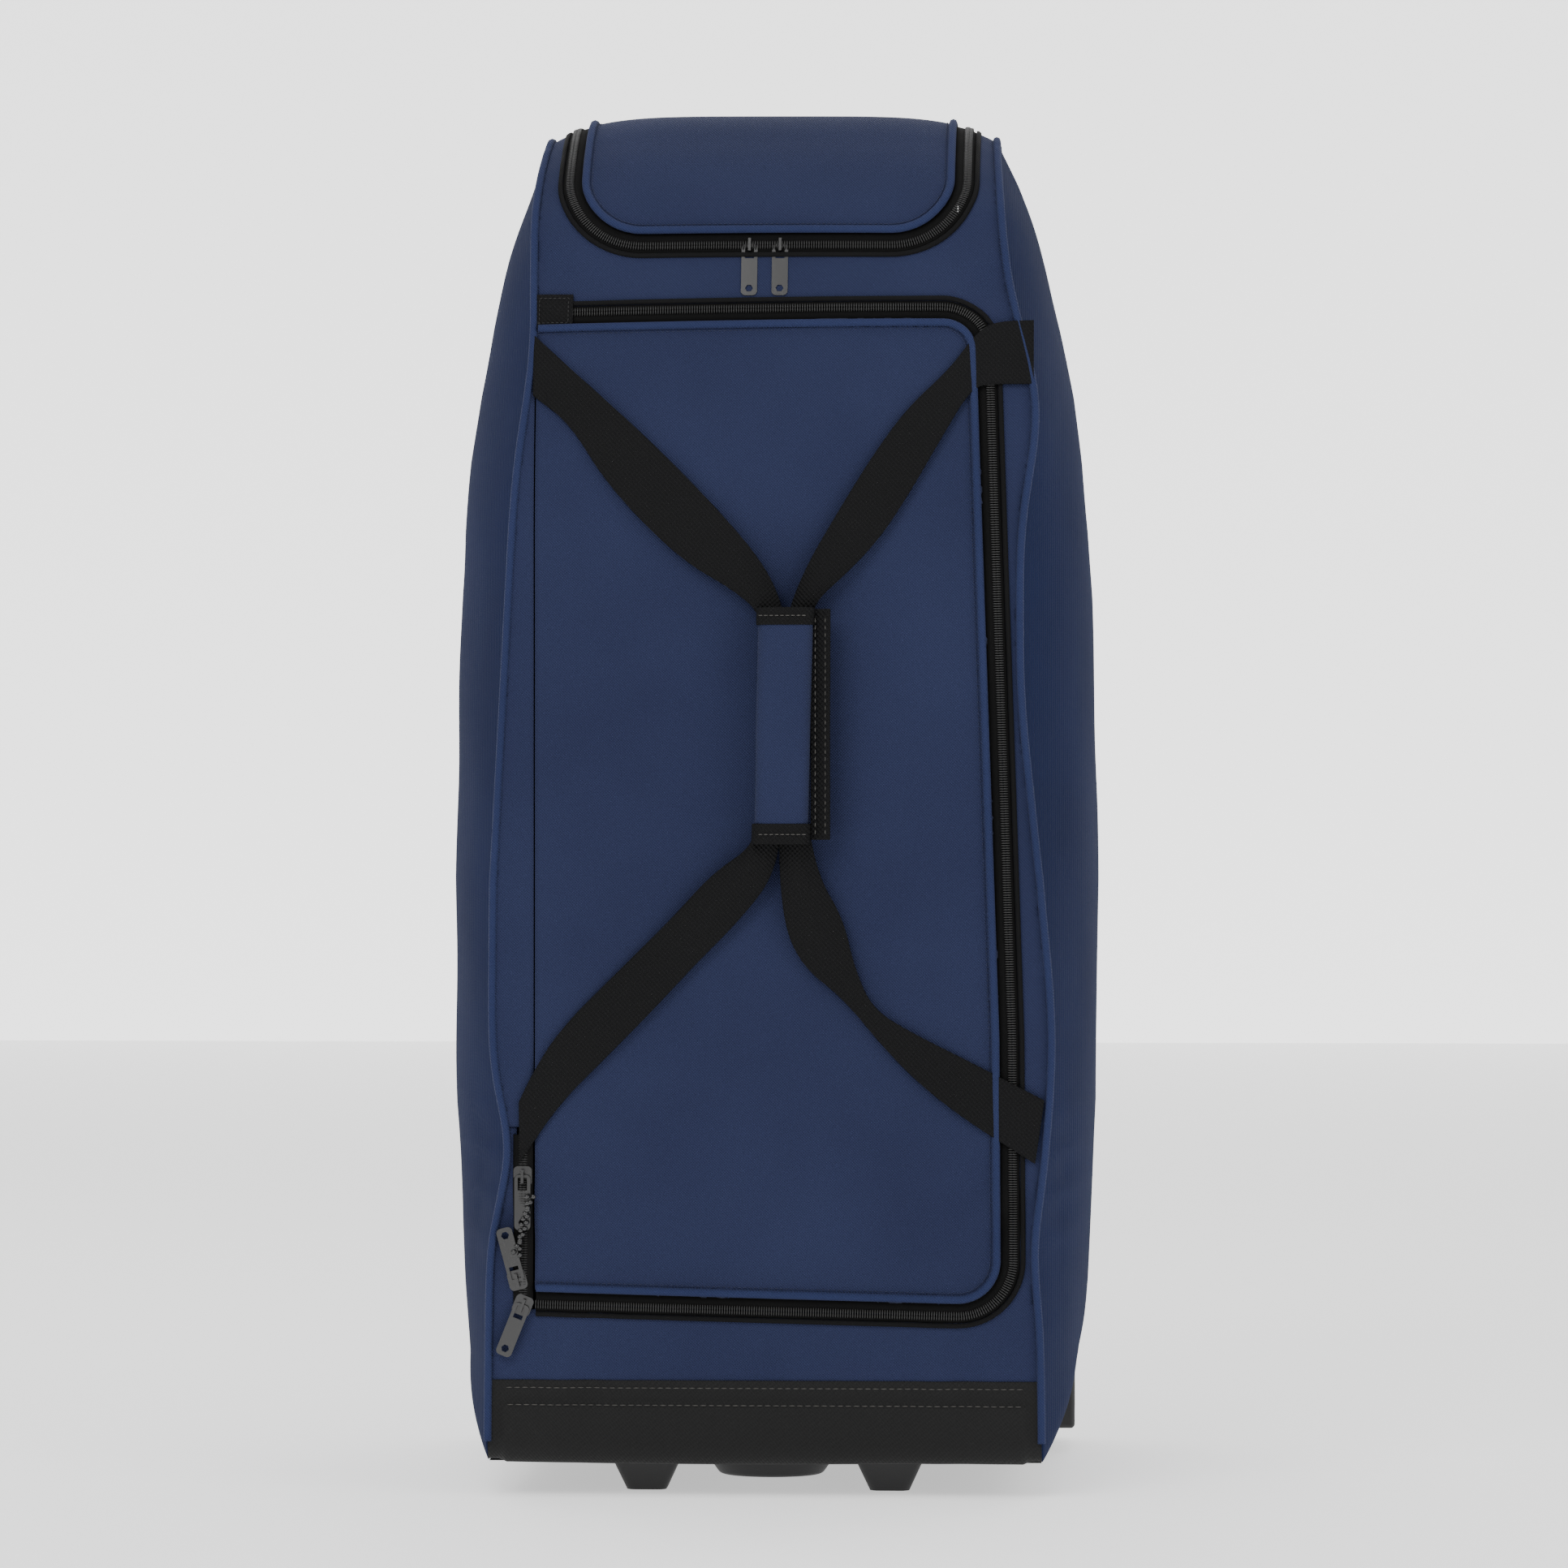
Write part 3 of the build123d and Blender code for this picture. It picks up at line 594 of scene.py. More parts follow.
def frontKeep(x, s):
    strip = (x < legX - 0.003) & (s < runAtHeight(0.242))
    return ((lidField(x, s) > 0.0030) | strip) & (pocketField(x, s) > 0.0030) & (seamField(x, s) < onSeam)


frontCloth = sheetPiece(
    "front_cloth", allX, np.arange(frontRun, hingeRun + 0.002, gridStep), frontKeep,
    navyCloth, "bag", 0.0, clothThick,
    [(lidField, 0.0035, gridStep * 0.6), (pocketField, 0.0035, gridStep * 0.6), seamSnap],
)
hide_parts("front_panel")
cupLow, cupHigh = low("handle_cup"), high("handle_cup")
topEndRun = runAtDepth(cupLow[1])
topCloth = sheetPiece(
    "top_cloth", allX, np.arange(hingeRun + 0.0005, topEndRun, gridStep),
    lambda x, s: seamField(x, s) < onSeam, navyCloth, "bag", 0.0, clothThick, [seamSnap],
)
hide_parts("top_panel")


def lidKeep(x, s):
    return (lidField(x, s) < -0.0085) & (x > hingeX + 0.0006)


lidCloth = sheetPiece(
    "lid_cloth", np.arange(hingeX + 0.0007, 0.165, gridStep),
    np.arange(runAtHeight(0.11), runAtHeight(0.785), gridStep), lidKeep,
    navyCloth, "lid", coverLift, coverThick, [(lidField, -0.0095, gridStep * 0.7)],
)
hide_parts("lid_panel")
hingeCloth = sheetPiece(
    "lid_hinge_cloth", np.arange(-0.189, hingeX + 0.0004, 0.0030),
    np.arange(runAtHeight(0.241), runAtHeight(0.7655), gridStep),
    lambda x, s: (seamField(x, s) < onSeam) & (lidField(x, s) < -0.007),
    navyCloth, "bag", coverLift, coverThick, [seamSnap],
)
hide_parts("lid_hinge_strip")
flapCloth = sheetPiece(
    "pocket_flap_cloth", np.arange(-0.125, 0.126, gridStep), np.arange(runAtHeight(0.80), hingeRun, gridStep),
    lambda x, s: pocketField(x, s) < -0.0085,
    navyCloth, "pocket_flap", coverLift, coverThick, [(pocketField, -0.0095, gridStep * 0.7)],
)
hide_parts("pocket_flap")
print("cloth panels made")

# back and base


# An upright cloth sheet: a grid that swells by a sine hill in its middle.
def flatSheet(name, x0, x1, z0, z1, y, material, swell):
    x, z = np.meshgrid(np.linspace(x0, x1, 60), np.linspace(z0, z1, 140))
    u, v = (x - x0) / (x1 - x0), (z - z0) / (z1 - z0)
    half = straightSeam(z)
    px = x / abs(x1) * half
    py = y - 0.0015 + swell * np.sin(math.pi * u) * np.sin(math.pi * v) + 0.0007 * hills(px, z, 8, 0.03)
    points = np.stack([px, py, z], -1).reshape(-1, 3)
    piece = addMesh(name, points, gridFaces(*x.shape)[:, ::-1], material, "bag")
    fixNormals(piece.data)
    return piece


backCloth = flatSheet("back_cloth", -1, 1, bandTopZ, 0.836, backY, navyCloth, 0.003)
cornerRuns = np.arange(runAtDepth(cupLow[1]), runAtDepth(backY - 0.0005) + 0.012, 0.003)
for side in (-1, 1):
    xs = np.linspace(0, 1, 16)
    x, s = np.meshgrid(xs, cornerRuns)
    across = side * (cupHigh[0] + 0.0005 + x * (seamHalf(s, side) - cupHigh[0] - 0.0005))
    corner = addMesh(
        f"back_shoulder_{'left' if side < 0 else 'right'}", onTrunk(across, s).reshape(-1, 3),
        gridFaces(*x.shape), navyCloth, "bag",
    )
    fixNormals(corner.data)
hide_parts("back_panel")


bandRuns = np.arange(runAtHeight(baseZ + 0.0135) - 0.022, runAtHeight(bandTopZ + 0.0015), 0.0012)
x, s = np.meshgrid(np.linspace(-1, 1, 150), bandRuns)
reach = np.where(x < 0, seamHalf(s, -1), seamHalf(s, 1)) - 0.0005
bandX = x * reach
height = np.interp(s, sideRun, sidePath[:, 1])
edge = np.minimum((0.172 - np.abs(bandX)) / 0.003, (bandTopZ - 0.0125 - height) / 0.003)
raised = 0.0022 * np.clip(edge, 0, 1) ** 2 * (3 - 2 * np.clip(edge, 0, 1))
bandLift = 0.0009 + raised + 0.0006 * hills(bandX, s, 12, 0.02)
band = addMesh(
    "leather_band_skin", onTrunk(bandX, s, bandLift).reshape(-1, 3), gridFaces(*x.shape), bandMaterial, "bag",
)
bandShell = band.modifiers.new("thickness", "SOLIDIFY")
bandShell.thickness = 0.0022
bandShell.offset = -1
baseX, baseY = np.meshgrid(np.linspace(-0.180, 0.180, 120), np.linspace(frontY + 0.008, backY - 0.002, 120))
baseFaces = gridFaces(*baseX.shape)
clearOfWheels = (np.abs(baseX) < low("right_wheel_housing")[0] + 0.001) | (baseY < low("right_wheel_housing")[1])
baseFaces = baseFaces[clearOfWheels.ravel()[baseFaces].all(axis=1)]
base = addMesh(
    "base_skin", np.stack([baseX, baseY, baseZ + 0 * baseX], -1).reshape(-1, 3), baseFaces[:, ::-1],
    bandMaterial, "bag",
)
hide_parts("leather_band")
print("band and base made")

# side panels


dome = {
    "heights": [
        0.0, 0.04, 0.085, 0.13, 0.18, 0.25, 0.40, 0.45, 0.50, 0.54, 0.59, 0.634, 0.68, 0.725, 0.77, 0.817, 0.863,
        0.96,
    ],
    "bulges": [
        0.032, 0.028, 0.0260, 0.030, 0.0330, 0.0375, 0.040, 0.042, 0.0435, 0.0447, 0.0463, 0.0463, 0.0446, 0.041,
        0.0346, 0.0265, 0.019, 0.008,
    ],
}


# A domed side: rings from the seam's outline towards a middle line, raised as 1-(1-r)^k.
def sidePanel(side):
    name = "left" if side < 0 else "right"
    outline = sidePath[::2]
    run = sideRun[::2]
    r = np.linspace(0, 1, 46)[:, None]
    middle = np.stack([
        np.full(len(outline), (frontY + backY) / 2), np.clip(outline[:, 1], 0.12, 0.80),
    ], axis=1)
    y = outline[:, 0] * (1 - r) + middle[:, 0] * r
    z = outline[:, 1] * (1 - r) + middle[:, 1] * r
    frontSeam = seamHalf(run, side)
    seam = straightSeam(z) + (frontSeam - straightSeam(outline[:, 1])) * (1 - r) ** 2
    full = np.interp(z, dome["heights"], dome["bulges"])
    swell = full * (1 - (1 - r) ** 2.3)
    creases = 0.0014 * hills(y, z, 21 + side, 0.030) * np.clip(r * 3, 0, 1)
    tuck = 0.004 * np.exp(-((z - 0.20) / 0.05) ** 2 - ((y - frontY - 0.03) / 0.05) ** 2) * np.sin(z / 0.009)
    x = side * (seam + swell + creases - np.abs(tuck) * np.clip(r * 4, 0, 1))
    edgeRise = trunkCrown(frontSeam, outline[:, 1], outline[:, 0]) * (1 - r) ** 2
    y = y + sideNormal[::2, 0] * edgeRise
    z = z + sideNormal[::2, 1] * edgeRise
    points = np.stack([x, y, z], axis=-1)
    housing = low("right_wheel_housing")
    faces = gridFaces(*y.shape)
    hidden = ((y > housing[1] + 0.001) & (z < high("right_wheel_housing")[2] - 0.001)).ravel()
    faces = faces[~hidden[faces].all(axis=1)]
    if side > 0:
        faces = faces[:, ::-1]
    used, faces = np.unique(faces, return_inverse=True)
    # The side cloth's darker navy is painted shade, not a different cloth.
    piece = addMesh(
        f"{name}_side_cloth", points.reshape(-1, 3)[used], faces.reshape(-1, 4), sideClothPaintedShade, "bag",
    )
    fixNormals(piece.data)
    shell = piece.modifiers.new("thickness", "SOLIDIFY")
    shell.thickness = 0.0024
    shell.offset = -1
    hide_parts(f"{name}_side_panel")
    lowEnd = int(np.argmax(sideRun > runAtHeight(baseZ + 0.006) - 0.010))
    highEnd = int(np.argmax(sideRun > sideRun[-1] - 0.10))
    picked = np.arange(lowEnd, highEnd, 2)
    edgeX = side * (seamHalf(sideRun[picked], side) - 0.0005)
    line = onTrunk(edgeX, sideRun[picked], 0.0012)
    normals = np.stack([0 * picked, sideNormal[picked, 0], sideNormal[picked, 1]], axis=1)
    welt = tubeAlong(f"{name}_side_piping", line, unit(normals), 0.0026, welCloth, "bag")
    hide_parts(f"{name}_side_welt")


sidePanel(-1)
sidePanel(1)
print("side panels made")

# zips, piping and stitches

across = np.array([1.0, 0.0, 0.0])
inward = np.array([0.0, 1.0, 0.0])
outward = -inward
upward = np.array([0.0, 0.0, 1.0])


def trunkNormal(s):
    depth = np.interp(s, sideRun, sideNormal[:, 0])
    height = np.interp(s, sideRun, sideNormal[:, 1])
    return unit(np.stack([0 * s, depth, height], axis=-1))


# A path moved to its left by offset, as points on the trunk, with the trunk's normals there.
def offsetPath(path, offset, lift):
    tangent = unit(np.gradient(path, axis=0))
    moved = path + offset * np.stack([-tangent[:, 1], tangent[:, 0]], axis=1)
    return onTrunk(moved[:, 0], moved[:, 1], lift), trunkNormal(moved[:, 1])


# A band along a path: one row of points for each sideways offset.
def ribbon(name, path, offsets, lifts, material, body, thick=0.0):
    rows = np.stack([offsetPath(path, o, l)[0] for o, l in zip(offsets, lifts)], axis=1)
    piece = addMesh(name, rows.reshape(-1, 3), gridFaces(*rows.shape[:2]), material, body)
    wanted = trunkNormal(path[:1, 1])[0]
    if np.dot(piece.data.polygons[0].normal, wanted) < 0:
        piece.data.flip_normals()
    if thick:
        shell = piece.modifiers.new("thickness", "SOLIDIFY")
        shell.thickness = thick
        shell.offset = -1
    return piece


# One row of a zip's coil: rounded grains across the line, 1.6 mm apart.
def teeth(name, path, offset, body):
    line = evenly(path, 0.0016)
    points, normals = offsetPath(line, offset, 0.0016)
    tangent = unit(np.gradient(points, axis=0))
    sideways = unit(np.cross(normals, tangent))
    shape, faces = capsule(0.0034, 0.00125, 0.0015, rings=2, sides=6)
    return manyCopies(name, shape, faces, points, sideways, tangent, normals, coilMaterial, body)


# Thread dashes along a line: one rounded grain for each stitch.
def stitches(name, path, offset, lift, body, material, pitch=0.0040):
    line = evenly(path, pitch)
    points, normals = offsetPath(line, offset, lift)
    tangent = unit(np.gradient(points, axis=0))
    shape, faces = capsule(pitch * 0.72, 0.0007, 0.0006, rings=2, sides=5)
    sideways = unit(np.cross(normals, tangent))
    return manyCopies(name, shape, faces, points, tangent, sideways, normals, material, body)


# Both halves of a zip: tape and coil on the moving panel, tape and coil on the bag.
def zipAround(name, path, innerBody, outerSign, replaced):
    inner, outer = -outerSign, outerSign
    innerTape = ribbon(
        f"{name}_inner_tape", path, [inner * d for d in (0.0012, 0.0030, 0.0090)], (0.0006, 0.0005, 0.0003),
        tapeMaterial, innerBody, 0.0008,
    )
    outerTape = ribbon(
        f"{name}_outer_tape", path, [outer * d for d in (0.0012, 0.0030, 0.0062)], (0.0006, 0.0005, -0.0004),
        tapeMaterial, "bag", 0.0008,
    )
    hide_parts(replaced)
    teeth(f"{name}_inner_coil", path, inner * 0.0011, innerBody)
    teeth(f"{name}_outer_coil", path, outer * 0.0011, "bag")
    binding = ribbon(
        f"{name}_binding", path, [outer * d for d in (0.0048, 0.0050, 0.0064, 0.0078, 0.0080)],
        (0.0002, 0.0016, 0.0020, 0.0016, 0.0002), bindMaterial, "bag",
    )
    piping, normals = offsetPath(path, inner * 0.0108, 0.0022)
    welt = tubeAlong(f"{name}_piping", piping, normals, 0.0027, welCloth, innerBody)
    stitches(f"{name}_piping_stitches", path, inner * 0.0148, 0.0014, innerBody, navyThread, 0.0034)
    return innerTape, outerTape, binding, welt


lidLine = evenly(lidPath[lidPath[:, 0] > hingeX + 0.001], 0.0020)
lidLine = lidLine if lidLine[0, 1] > lidLine[-1, 1] else lidLine[::-1]
lidMiddle = len(lidLine) // 2
lidHeading = unit(np.gradient(lidLine, axis=0))[lidMiddle]
outerSide = 1.0 if lidHeading[1] < 0 else -1.0
lidZip = zipAround("main_zip", lidLine, "lid", outerSide, "main_zip_tape")
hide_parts("lid_zip_tape")
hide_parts("lid_welt")
legRuns = np.linspace(runAtHeight(0.126), runAtHeight(legTopZ), 40)
leg = evenly(np.stack([np.full(40, legX), legRuns], axis=1), 0.002)
ribbon(
    "leg_tape", leg, (-0.0065, -0.003, 0.003, 0.0065), (0.0008, 0.0016, 0.0016, 0.0008), tapeMaterial, "bag",
    0.0008,
)
teeth("leg_coil_left", leg, 0.0011, "bag")
teeth("leg_coil_right", leg, -0.0011, "bag")

pocketLine = evenly(pocketPath[pocketPath[:, 1] < hingeRun - 0.002], 0.0020)
middle = len(pocketLine) // 2
direction = unit(np.gradient(pocketLine, axis=0))[middle]
pocketSide = 1.0 if direction[0] < 0 else -1.0
pocketZip = zipAround("pocket_zip", pocketLine, "pocket_flap", pocketSide, "pocket_zip_tape")
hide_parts("flap_zip_tape")
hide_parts("flap_welt")

stitchInset = 0.003
patchRuns = np.linspace(runAtHeight(0.761), runAtHeight(0.783), 12)
patchX = np.linspace(-0.151, -0.126, 14)
px, ps = np.meshgrid(patchX, patchRuns)
patch = addMesh(
    "zip_end_patch", onTrunk(px, ps, 0.0024).reshape(-1, 3), gridFaces(*px.shape), webMaterial, "bag",
)
patchShell = patch.modifiers.new("thickness", "SOLIDIFY")
patchShell.thickness = 0.0018
patchShell.offset = -1
patchLeft, patchRight = patchX[0] + stitchInset, patchX[-1] - stitchInset
patchLow, patchHigh = patchRuns[0] + stitchInset, patchRuns[-1] - stitchInset
patchBox = np.array([
    (patchLeft, patchLow), (patchRight, patchLow), (patchRight, patchHigh), (patchLeft, patchHigh),
    (patchLeft, patchLow),
])
stitches("zip_end_patch_stitches", evenly(patchBox, 0.001), 0.0, 0.0028, "bag", blackThread, 0.003)
for row, height in enumerate((0.0715, 0.0605)):
    half = 0.166 - 0.001 * row
    line = np.stack([np.linspace(-half, half, 60), np.full(60, runAtHeight(height))], axis=1)
    stitches(f"band_stitches_{row + 1}", line, 0.0, 0.0012 + 0.0024 * row, "bag", threadMaterial, 0.0052)
print("zips and piping made")

# carry straps and the wrapped grip

strapEdges = {
    "upper_left": {
        "upper": [
            (-0.151, 0.757), (-0.127, 0.735), (-0.109, 0.719), (-0.075, 0.688), (-0.033, 0.646),
            (-0.001, 0.609), (0.012, 0.583), (0.016, 0.560),
        ],
        "lower": [
            (-0.151, 0.717), (-0.127, 0.699), (-0.104, 0.662), (-0.075, 0.630), (-0.048, 0.606),
            (-0.020, 0.590), (-0.002, 0.575), (-0.003, 0.560),
        ],
    },
    "lower_left": {
        "upper": [
            (-0.1595, 0.257), (-0.151, 0.275), (-0.133, 0.304), (-0.096, 0.341), (-0.059, 0.377),
            (-0.033, 0.406), (-0.006, 0.424), (-0.003, 0.446),
        ],
        "lower": [
            (-0.159, 0.218), (-0.133, 0.256), (-0.106, 0.283), (-0.075, 0.314), (-0.048, 0.343),
            (-0.012, 0.379), (0.008, 0.406), (0.014, 0.446),
        ],
    },
    "upper_right": {
        "upper": [
            (0.1750, 0.766), (0.150, 0.765), (0.138, 0.758), (0.120, 0.733), (0.094, 0.709),
            (0.073, 0.680), (0.052, 0.646), (0.025, 0.600), (0.012, 0.560),
        ],
        "lower": [
            (0.1750, 0.724), (0.150, 0.724), (0.135, 0.722), (0.115, 0.688), (0.094, 0.651),
            (0.075, 0.622), (0.052, 0.598), (0.034, 0.582), (0.029, 0.560),
        ],
    },
    "lower_right": {
        "upper": [
            (0.182, 0.259), (0.136, 0.283), (0.094, 0.304), (0.070, 0.319), (0.059, 0.346),
            (0.052, 0.377), (0.036, 0.404), (0.028, 0.446),
        ],
        "lower": [
            (0.176, 0.218), (0.136, 0.243), (0.104, 0.267), (0.078, 0.293), (0.052, 0.325),
            (0.025, 0.346), (0.012, 0.377), (0.010, 0.446),
        ],
    },
}
gripY = (low("grip_wrap")[1] + high("grip_wrap")[1]) / 2


# A flat strap between two drawn edges; it rises off the cloth as a smooth step towards the grip.
def webbing(name, edges, side, body):
    steps = 130
    upper = smoothPath(np.array(edges["upper"]), 0.002, 3)
    lower = smoothPath(np.array(edges["lower"]), 0.002, 3)
    pick = np.linspace(0, 1, steps)
    upper = np.stack([np.interp(pick, np.linspace(0, 1, len(upper)), upper[:, k]) for k in (0, 1)], axis=1)
    lower = np.stack([np.interp(pick, np.linspace(0, 1, len(lower)), lower[:, k]) for k in (0, 1)], axis=1)
    v = np.linspace(0, 1, 21)
    x = upper[:, None, 0] * (1 - v) + lower[:, None, 0] * v
    z = upper[:, None, 1] * (1 - v) + lower[:, None, 1] * v
    cloth = onTrunk(x, runAtHeight(z.ravel()).reshape(z.shape), 0.0)[..., 1]
    t = pick[:, None]
    rise = 0.0035 + 0.005 * t + (np.abs(cloth - gripY) - 0.0085) * np.clip((t - 0.45) / 0.55, 0, 1) ** 2
    cup = 0.0040 * np.sin(math.pi * v)[None, :] * np.clip((t - 0.55) / 0.35, 0, 1)
    wave = 0.0016 * np.sin(t * 9 + side) * (v[None, :] - 0.5) * np.clip(1 - (t - 0.5) ** 2 * 4, 0, 1)
    y = np.minimum(cloth - rise - cup + wave, cloth - 0.0030)
    u = np.stack([v * 0.040 + 0 * t, t * 0.26 + 0 * v[None, :]], axis=-1)
    points = np.stack([x, y, z], -1).reshape(-1, 3)
    piece = addMesh(name, points, gridFaces(steps, len(v)), webMaterial, body)
    layer = piece.data.uv_layers.new(name="run")
    loops = np.zeros(len(piece.data.loops), int)
    piece.data.loops.foreach_get("vertex_index", loops)
    layer.data.foreach_set("uv", u.reshape(-1, 2)[loops].ravel())
    if piece.data.polygons[0].normal.y > 0:
        piece.data.flip_normals()
    shell = piece.modifiers.new("thickness", "SOLIDIFY")
    shell.thickness = 0.0018
    shell.offset = -1
    return piece


upperLeft = webbing("strap_upper_left", strapEdges["upper_left"], 0.0, "left_handle")
webbing("strap_lower_left", strapEdges["lower_left"], 1.0, "left_handle")
upperRight = webbing("strap_upper_right", strapEdges["upper_right"], 2.0, "right_handle")
webbing("strap_lower_right", strapEdges["lower_right"], 3.0, "right_handle")
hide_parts("left_strap", "left_strap_roots")
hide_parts("right_strap", "right_strap_roots")

grip = {"low": 0.4250, "high": 0.5780, "left": -0.0045, "right": 0.0315, "depth": 0.0300}


# A rounded square tube round the straps: a superellipse with soft creases, narrowed a little at its open ends.
def gripTube(name, low, high, grow, material, seed):
    rows = np.linspace(0, 1, 70)
    turn = np.linspace(0, 2 * math.pi, 72, endpoint=False)
    t, a = np.meshgrid(rows, turn, indexing="ij")
    power = 0.55
    cx, sy = np.cos(a), np.sin(a)
    half = (grip["right"] - grip["left"]) / 2 + grow
    deep = grip["depth"] / 2 + grow * 0.6
    ends = (1 - np.clip(1 - np.minimum(t, 1 - t) / 0.025, 0, 1) ** 2 * 0.10)
    x = np.sign(cx) * np.abs(cx) ** power * half * ends
    y = np.sign(sy) * np.abs(sy) ** power * deep * ends
    z = low + (high - low) * t
    ruck = 0.0007 * hills(a * 0.02, z, seed, 0.012)
    x, y = x * (1 + ruck / half), y * (1 + ruck / deep)
    lean = (z - 0.50) * 0.020
    points = np.stack([x + (grip["left"] + grip["right"]) / 2 + lean, y + gripY, z], axis=-1)
    closed = gridFaces(len(rows), len(turn), wrapColumns=True)
    piece = addMesh(name, points.reshape(-1, 3), closed, material, "left_handle")
    fixNormals(piece.data)
    shell = piece.modifiers.new("thickness", "SOLIDIFY")
    shell.thickness = 0.0025
    shell.offset = -1
    return piece


pad = gripTube("grip_pad", grip["low"] + 0.010, grip["high"] - 0.008, -0.0004, navyCloth, 31)
gripTube(
    "grip_collar_lower", grip["low"], grip["low"] + 0.0135, 0.0010, webMaterial, 32
)
gripTube(
    "grip_collar_upper", grip["high"] - 0.0115, grip["high"], 0.0010, webMaterial, 33
)
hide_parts("grip_wrap")

flapLow, flapHigh = low("wrap_flap"), high("wrap_flap")
flapHeights = np.linspace(flapLow[2] + 0.001, flapHigh[2] - 0.001, 60)
z, a = np.meshgrid(flapHeights, np.linspace(0, 1, 16), indexing="ij")
fx = flapLow[0] + (flapHigh[0] - flapLow[0]) * a + 0.0004 * hills(a, z, 41, 0.02)
fy = (flapLow[1] + flapHigh[1]) / 2 - 0.0030 + 0.0018 * np.cos(a * math.pi) + 0 * z
closing = addMesh(
    "wrap_edge", np.stack([fx, fy, z], -1).reshape(-1, 3), gridFaces(*z.shape), webMaterial, "wrap_flap",
)
fixNormals(closing.data)
closingShell = closing.modifiers.new("thickness", "SOLIDIFY")
closingShell.thickness = 0.0050
closingShell.offset = 0
closingRound = closing.modifiers.new("rounding", "BEVEL")
closingRound.width = 0.0018
closingRound.segments = 2
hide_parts("wrap_flap")
threadDepth = fy[:, 0].mean() - 0.0056
threadHeights = np.linspace(flapLow[2] + 0.006, flapHigh[2] - 0.006, 60)[::2]
count = len(threadHeights)
for row, at in enumerate((flapLow[0] + 0.0030, flapHigh[0] - 0.0030)):
    line = np.stack([np.full(count, at), np.full(count, threadDepth), threadHeights], axis=1)
    shape, faces = capsule(0.0028, 0.0007, 0.0006, rings=2, sides=5)
    manyCopies(
        f"wrap_edge_stitches_{row + 1}", shape, faces, line, np.tile(upward, (count, 1)),
        np.tile(across, (count, 1)), np.tile(outward, (count, 1)), threadMaterial, "wrap_flap",
    )
collarDepth = gripY - grip["depth"] / 2 - 0.0012
collarX = np.linspace(grip["left"] + 0.004, grip["right"] - 0.004, 9)
for row, height in enumerate((grip["low"] + 0.0065, grip["high"] - 0.0055)):
    count = len(collarX)
    line = np.stack([collarX, np.full(count, collarDepth), np.full(count, height)], axis=1)
    shape, faces = capsule(0.0026, 0.0007, 0.0007, rings=2, sides=5)
    manyCopies(
        f"collar_stitches_{row + 1}", shape, faces, line, np.tile(across, (count, 1)),
        np.tile(upward, (count, 1)), np.tile(outward, (count, 1)), threadMaterial, "left_handle",
    )
print("straps and grip made")

# bead chain

beads = {"pitch": 0.0046, "radius": 0.0017}
upperEnd, lowerEnd = np.array([-0.1535, 0.196]), np.array([-0.1625, 0.160])
chainRuns = (
    (upperEnd, lowerEnd, 0.0035),
    (upperEnd + [0.004, 0], lowerEnd + [0.004, -0.002], -0.0035),
)
for part, (start, end, bow) in enumerate(chainRuns):
    t = np.linspace(0, 1, 40)
    route = start + (end - start) * t[:, None]
    route[:, 0] += bow * np.sin(math.pi * t)
    spots = evenly(route, beads["pitch"] * 0.9)
    centres = onTrunk(spots[:, 0], runAtHeight(spots[:, 1]), 0.0065)
    shape, faces = capsule(2 * beads["radius"], 2 * beads["radius"], 2 * beads["radius"], rings=6, sides=10)
    size = len(centres)
    chain = manyCopies(
        f"bead_chain_{part + 1}", shape, faces, centres, np.tile(across, (size, 1)), np.tile(inward, (size, 1)),
        np.tile(upward, (size, 1)), metalMaterial, "bag",
    )
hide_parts("bead_chain")

# materials of the kept CAD nodes

zipEnds = ("main_corner", "main_leg", "main_lower", "pocket_left", "pocket_right")
finishes = {
    metalMaterial: [f"{where}_{kind}" for where in zipEnds for kind in ("pull", "slider")],
    plasticMaterial: [
        "front_feet", "centre_glide", "kick_plate", "back_skids", "handle_cup", "tube_foot_bracket",
        "left_wheel_housing", "right_wheel_housing", "left_wheel_hub", "right_wheel_hub", "inner_tube_plugs",
        "middle_tube_plugs", "release_button",
    ],
    glossMaterial: ["pull_grip"],
    tyreMaterial: ["left_wheel_tyre", "right_wheel_tyre"],
    tubeMaterial: ["handle_outer_tubes", "handle_middle_tubes", "handle_inner_tubes"],
    steelMaterial: ["left_wheel_bearings", "right_wheel_bearings", "wheel_axles", "kick_plate_rivets"],
    boardMaterial: ["back_board", "base_board"],
    liningMaterial: ["pocket_divider"],
}
for material, names in finishes.items():
    for nodeName in names:
        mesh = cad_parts[nodeName].data
        mesh.materials.clear()
        mesh.materials.append(material)

# floor, light and camera

floorMaterial = mouldedMaterial("floor_paper", {
    "dark": srgb(240, 240, 240), "light": srgb(244, 244, 244), "rough": 0.8, "grain": 40.0, "bump": 0.02,
})

bpy.ops.mesh.primitive_plane_add(size=1)
floor = bpy.context.object
floor.name = "floor"
floor.data.transform(mathutils.Matrix.Scale(14, 4))
floor.data.materials.append(floorMaterial)


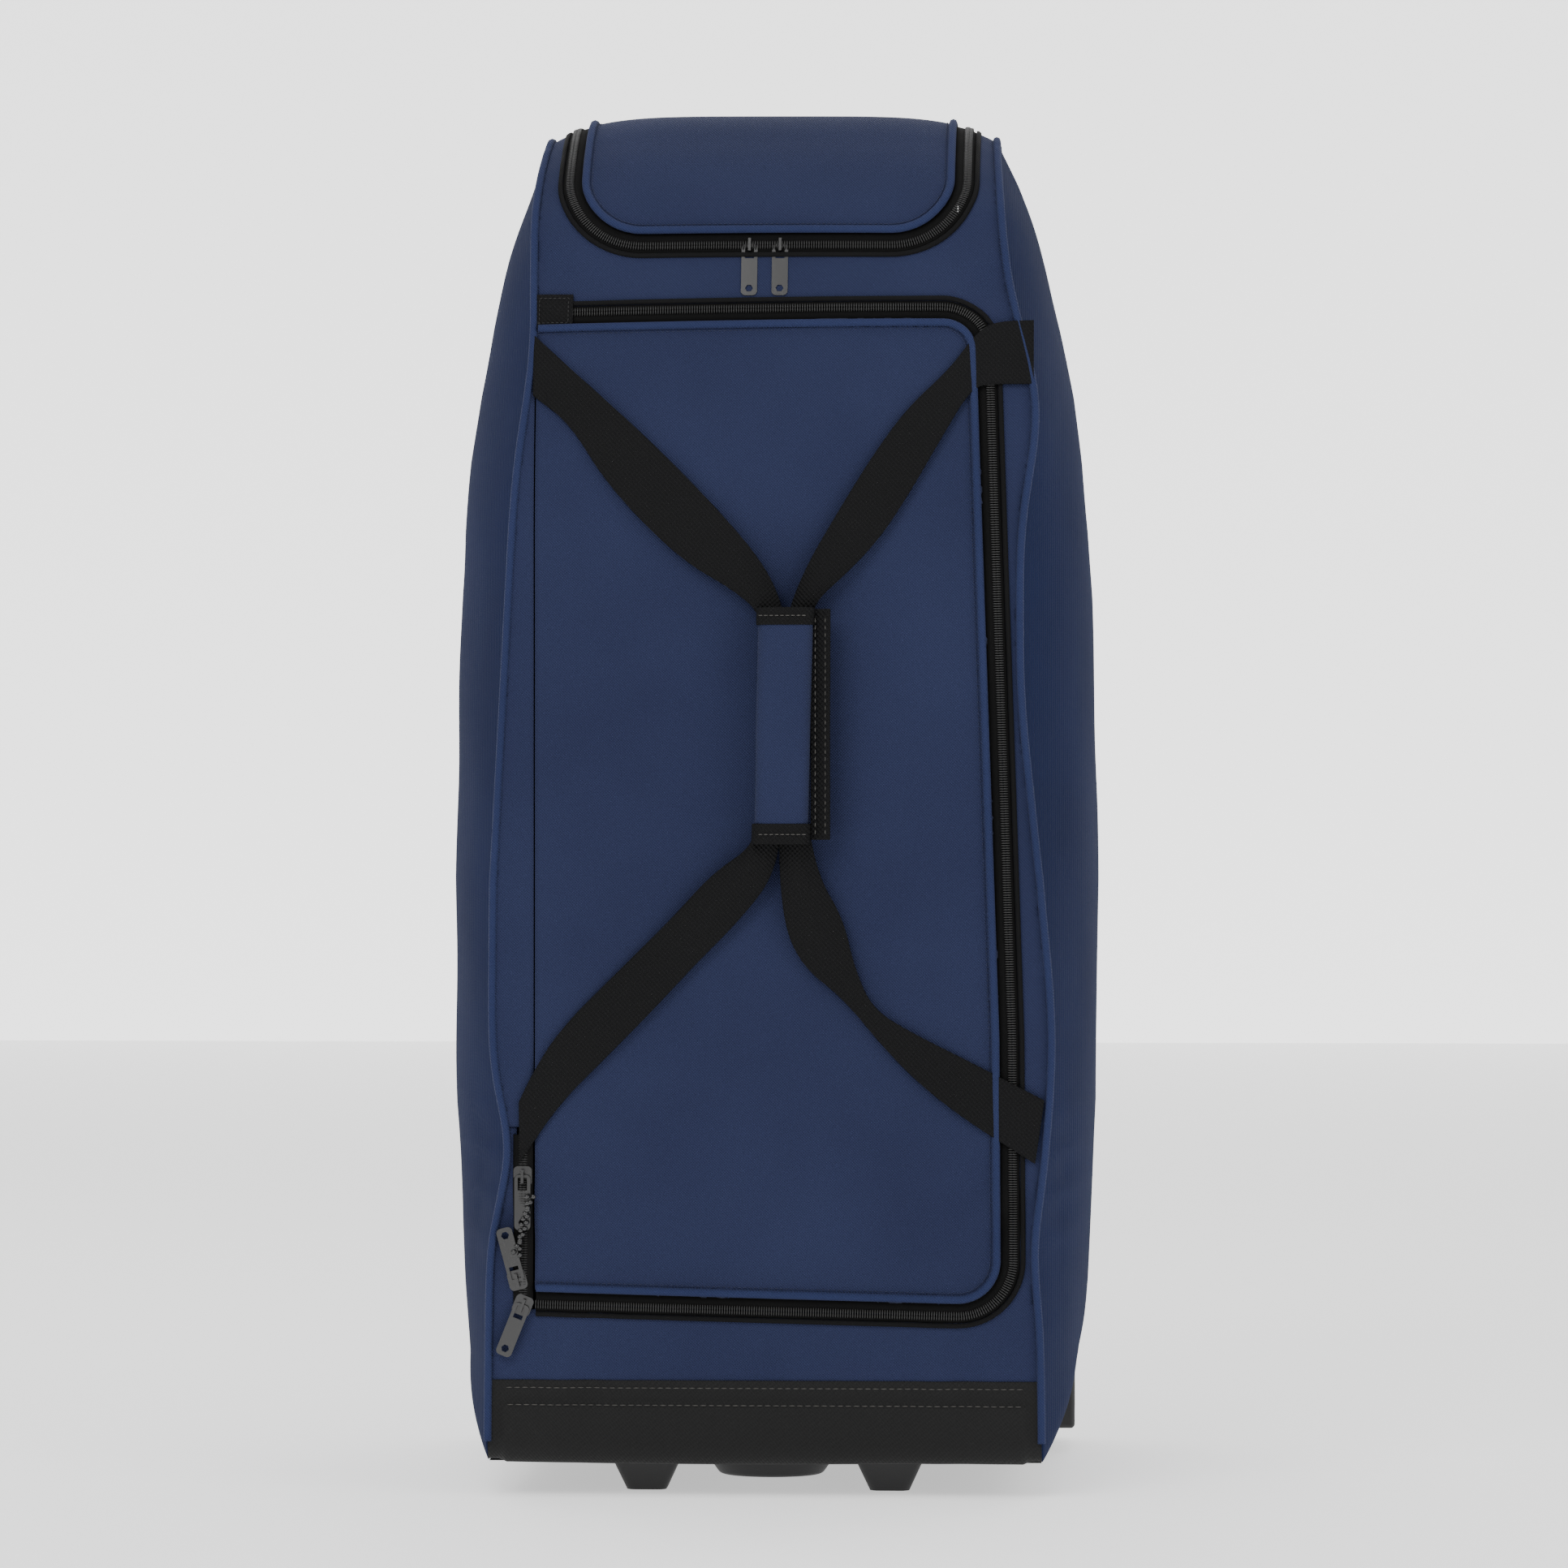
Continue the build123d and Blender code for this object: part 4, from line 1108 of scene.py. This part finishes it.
def softLight(name, where, target, size, power):
    lamp = bpy.data.lights.new(name, "AREA")
    lamp.shape = "RECTANGLE"
    lamp.size, lamp.size_y, lamp.energy = size[0], size[1], power
    holder = bpy.data.objects.new(name, lamp)
    bpy.context.collection.objects.link(holder)
    holder.location = where
    aim = mathutils.Vector(target) - mathutils.Vector(where)
    holder.rotation_euler = aim.to_track_quat("-Z", "Y").to_euler()
    return holder


lights = [
    softLight("key", (-1.1, -2.4, 2.4), (0, 0, 0.5), (1.6, 1.6), 48),
    softLight("fill", (2.4, -1.8, 1.4), (0, 0, 0.45), (1.8, 1.8), 24),
    softLight("overhead", (0, 0.2, 3.2), (0, 0, 0.3), (2.4, 2.4), 30),
    softLight("rim", (-2.0, 1.6, 1.6), (0, 0, 0.5), (1.2, 1.6), 6),
]
world = bpy.data.worlds.new("studio")
bpy.context.scene.world = world
world.use_nodes = True
backdrop = world.node_tree.nodes["Background"]
backdrop.inputs["Color"].default_value = (1, 1, 1, 1)
backdrop.inputs["Strength"].default_value = 0.55
bpy.ops.mesh.primitive_plane_add(size=1)
wall = bpy.context.object
wall.name = "backdrop"
wall.data.transform(
    mathutils.Matrix.Translation((0, 6.9, 2.0)) @ mathutils.Matrix.Rotation(math.pi / 2, 4, "X")
    @ mathutils.Matrix.Scale(14, 4)
)
glow = bpy.data.materials.new("backdropPaper")
glow.use_nodes = True
glowInputs = glow.node_tree.nodes["Principled BSDF"].inputs
glowInputs["Emission Color"].default_value = (1, 1, 1, 1)
glowInputs["Emission Strength"].default_value = 1.6
wall.data.materials.append(glow)
for node in floorMaterial.node_tree.nodes:
    if node.type == "BSDF_PRINCIPLED":
        node.inputs["Emission Color"].default_value = (1, 1, 1, 1)
        node.inputs["Emission Strength"].default_value = 0.7

camera = bpy.data.objects.new("camera", bpy.data.cameras.new("camera"))
bpy.context.collection.objects.link(camera)
camera.data.lens, camera.data.sensor_width = 141.6, 36.0
camera.data.clip_end = 60
camera.location = (0.21, frontY - 4.0, 0.464)
aimPoint = mathutils.Vector((0.013, frontY, 0.464))
camera.rotation_euler = (aimPoint - camera.location).to_track_quat("-Z", "Y").to_euler()
camera.data.dof.use_dof = False
bpy.context.scene.camera = camera
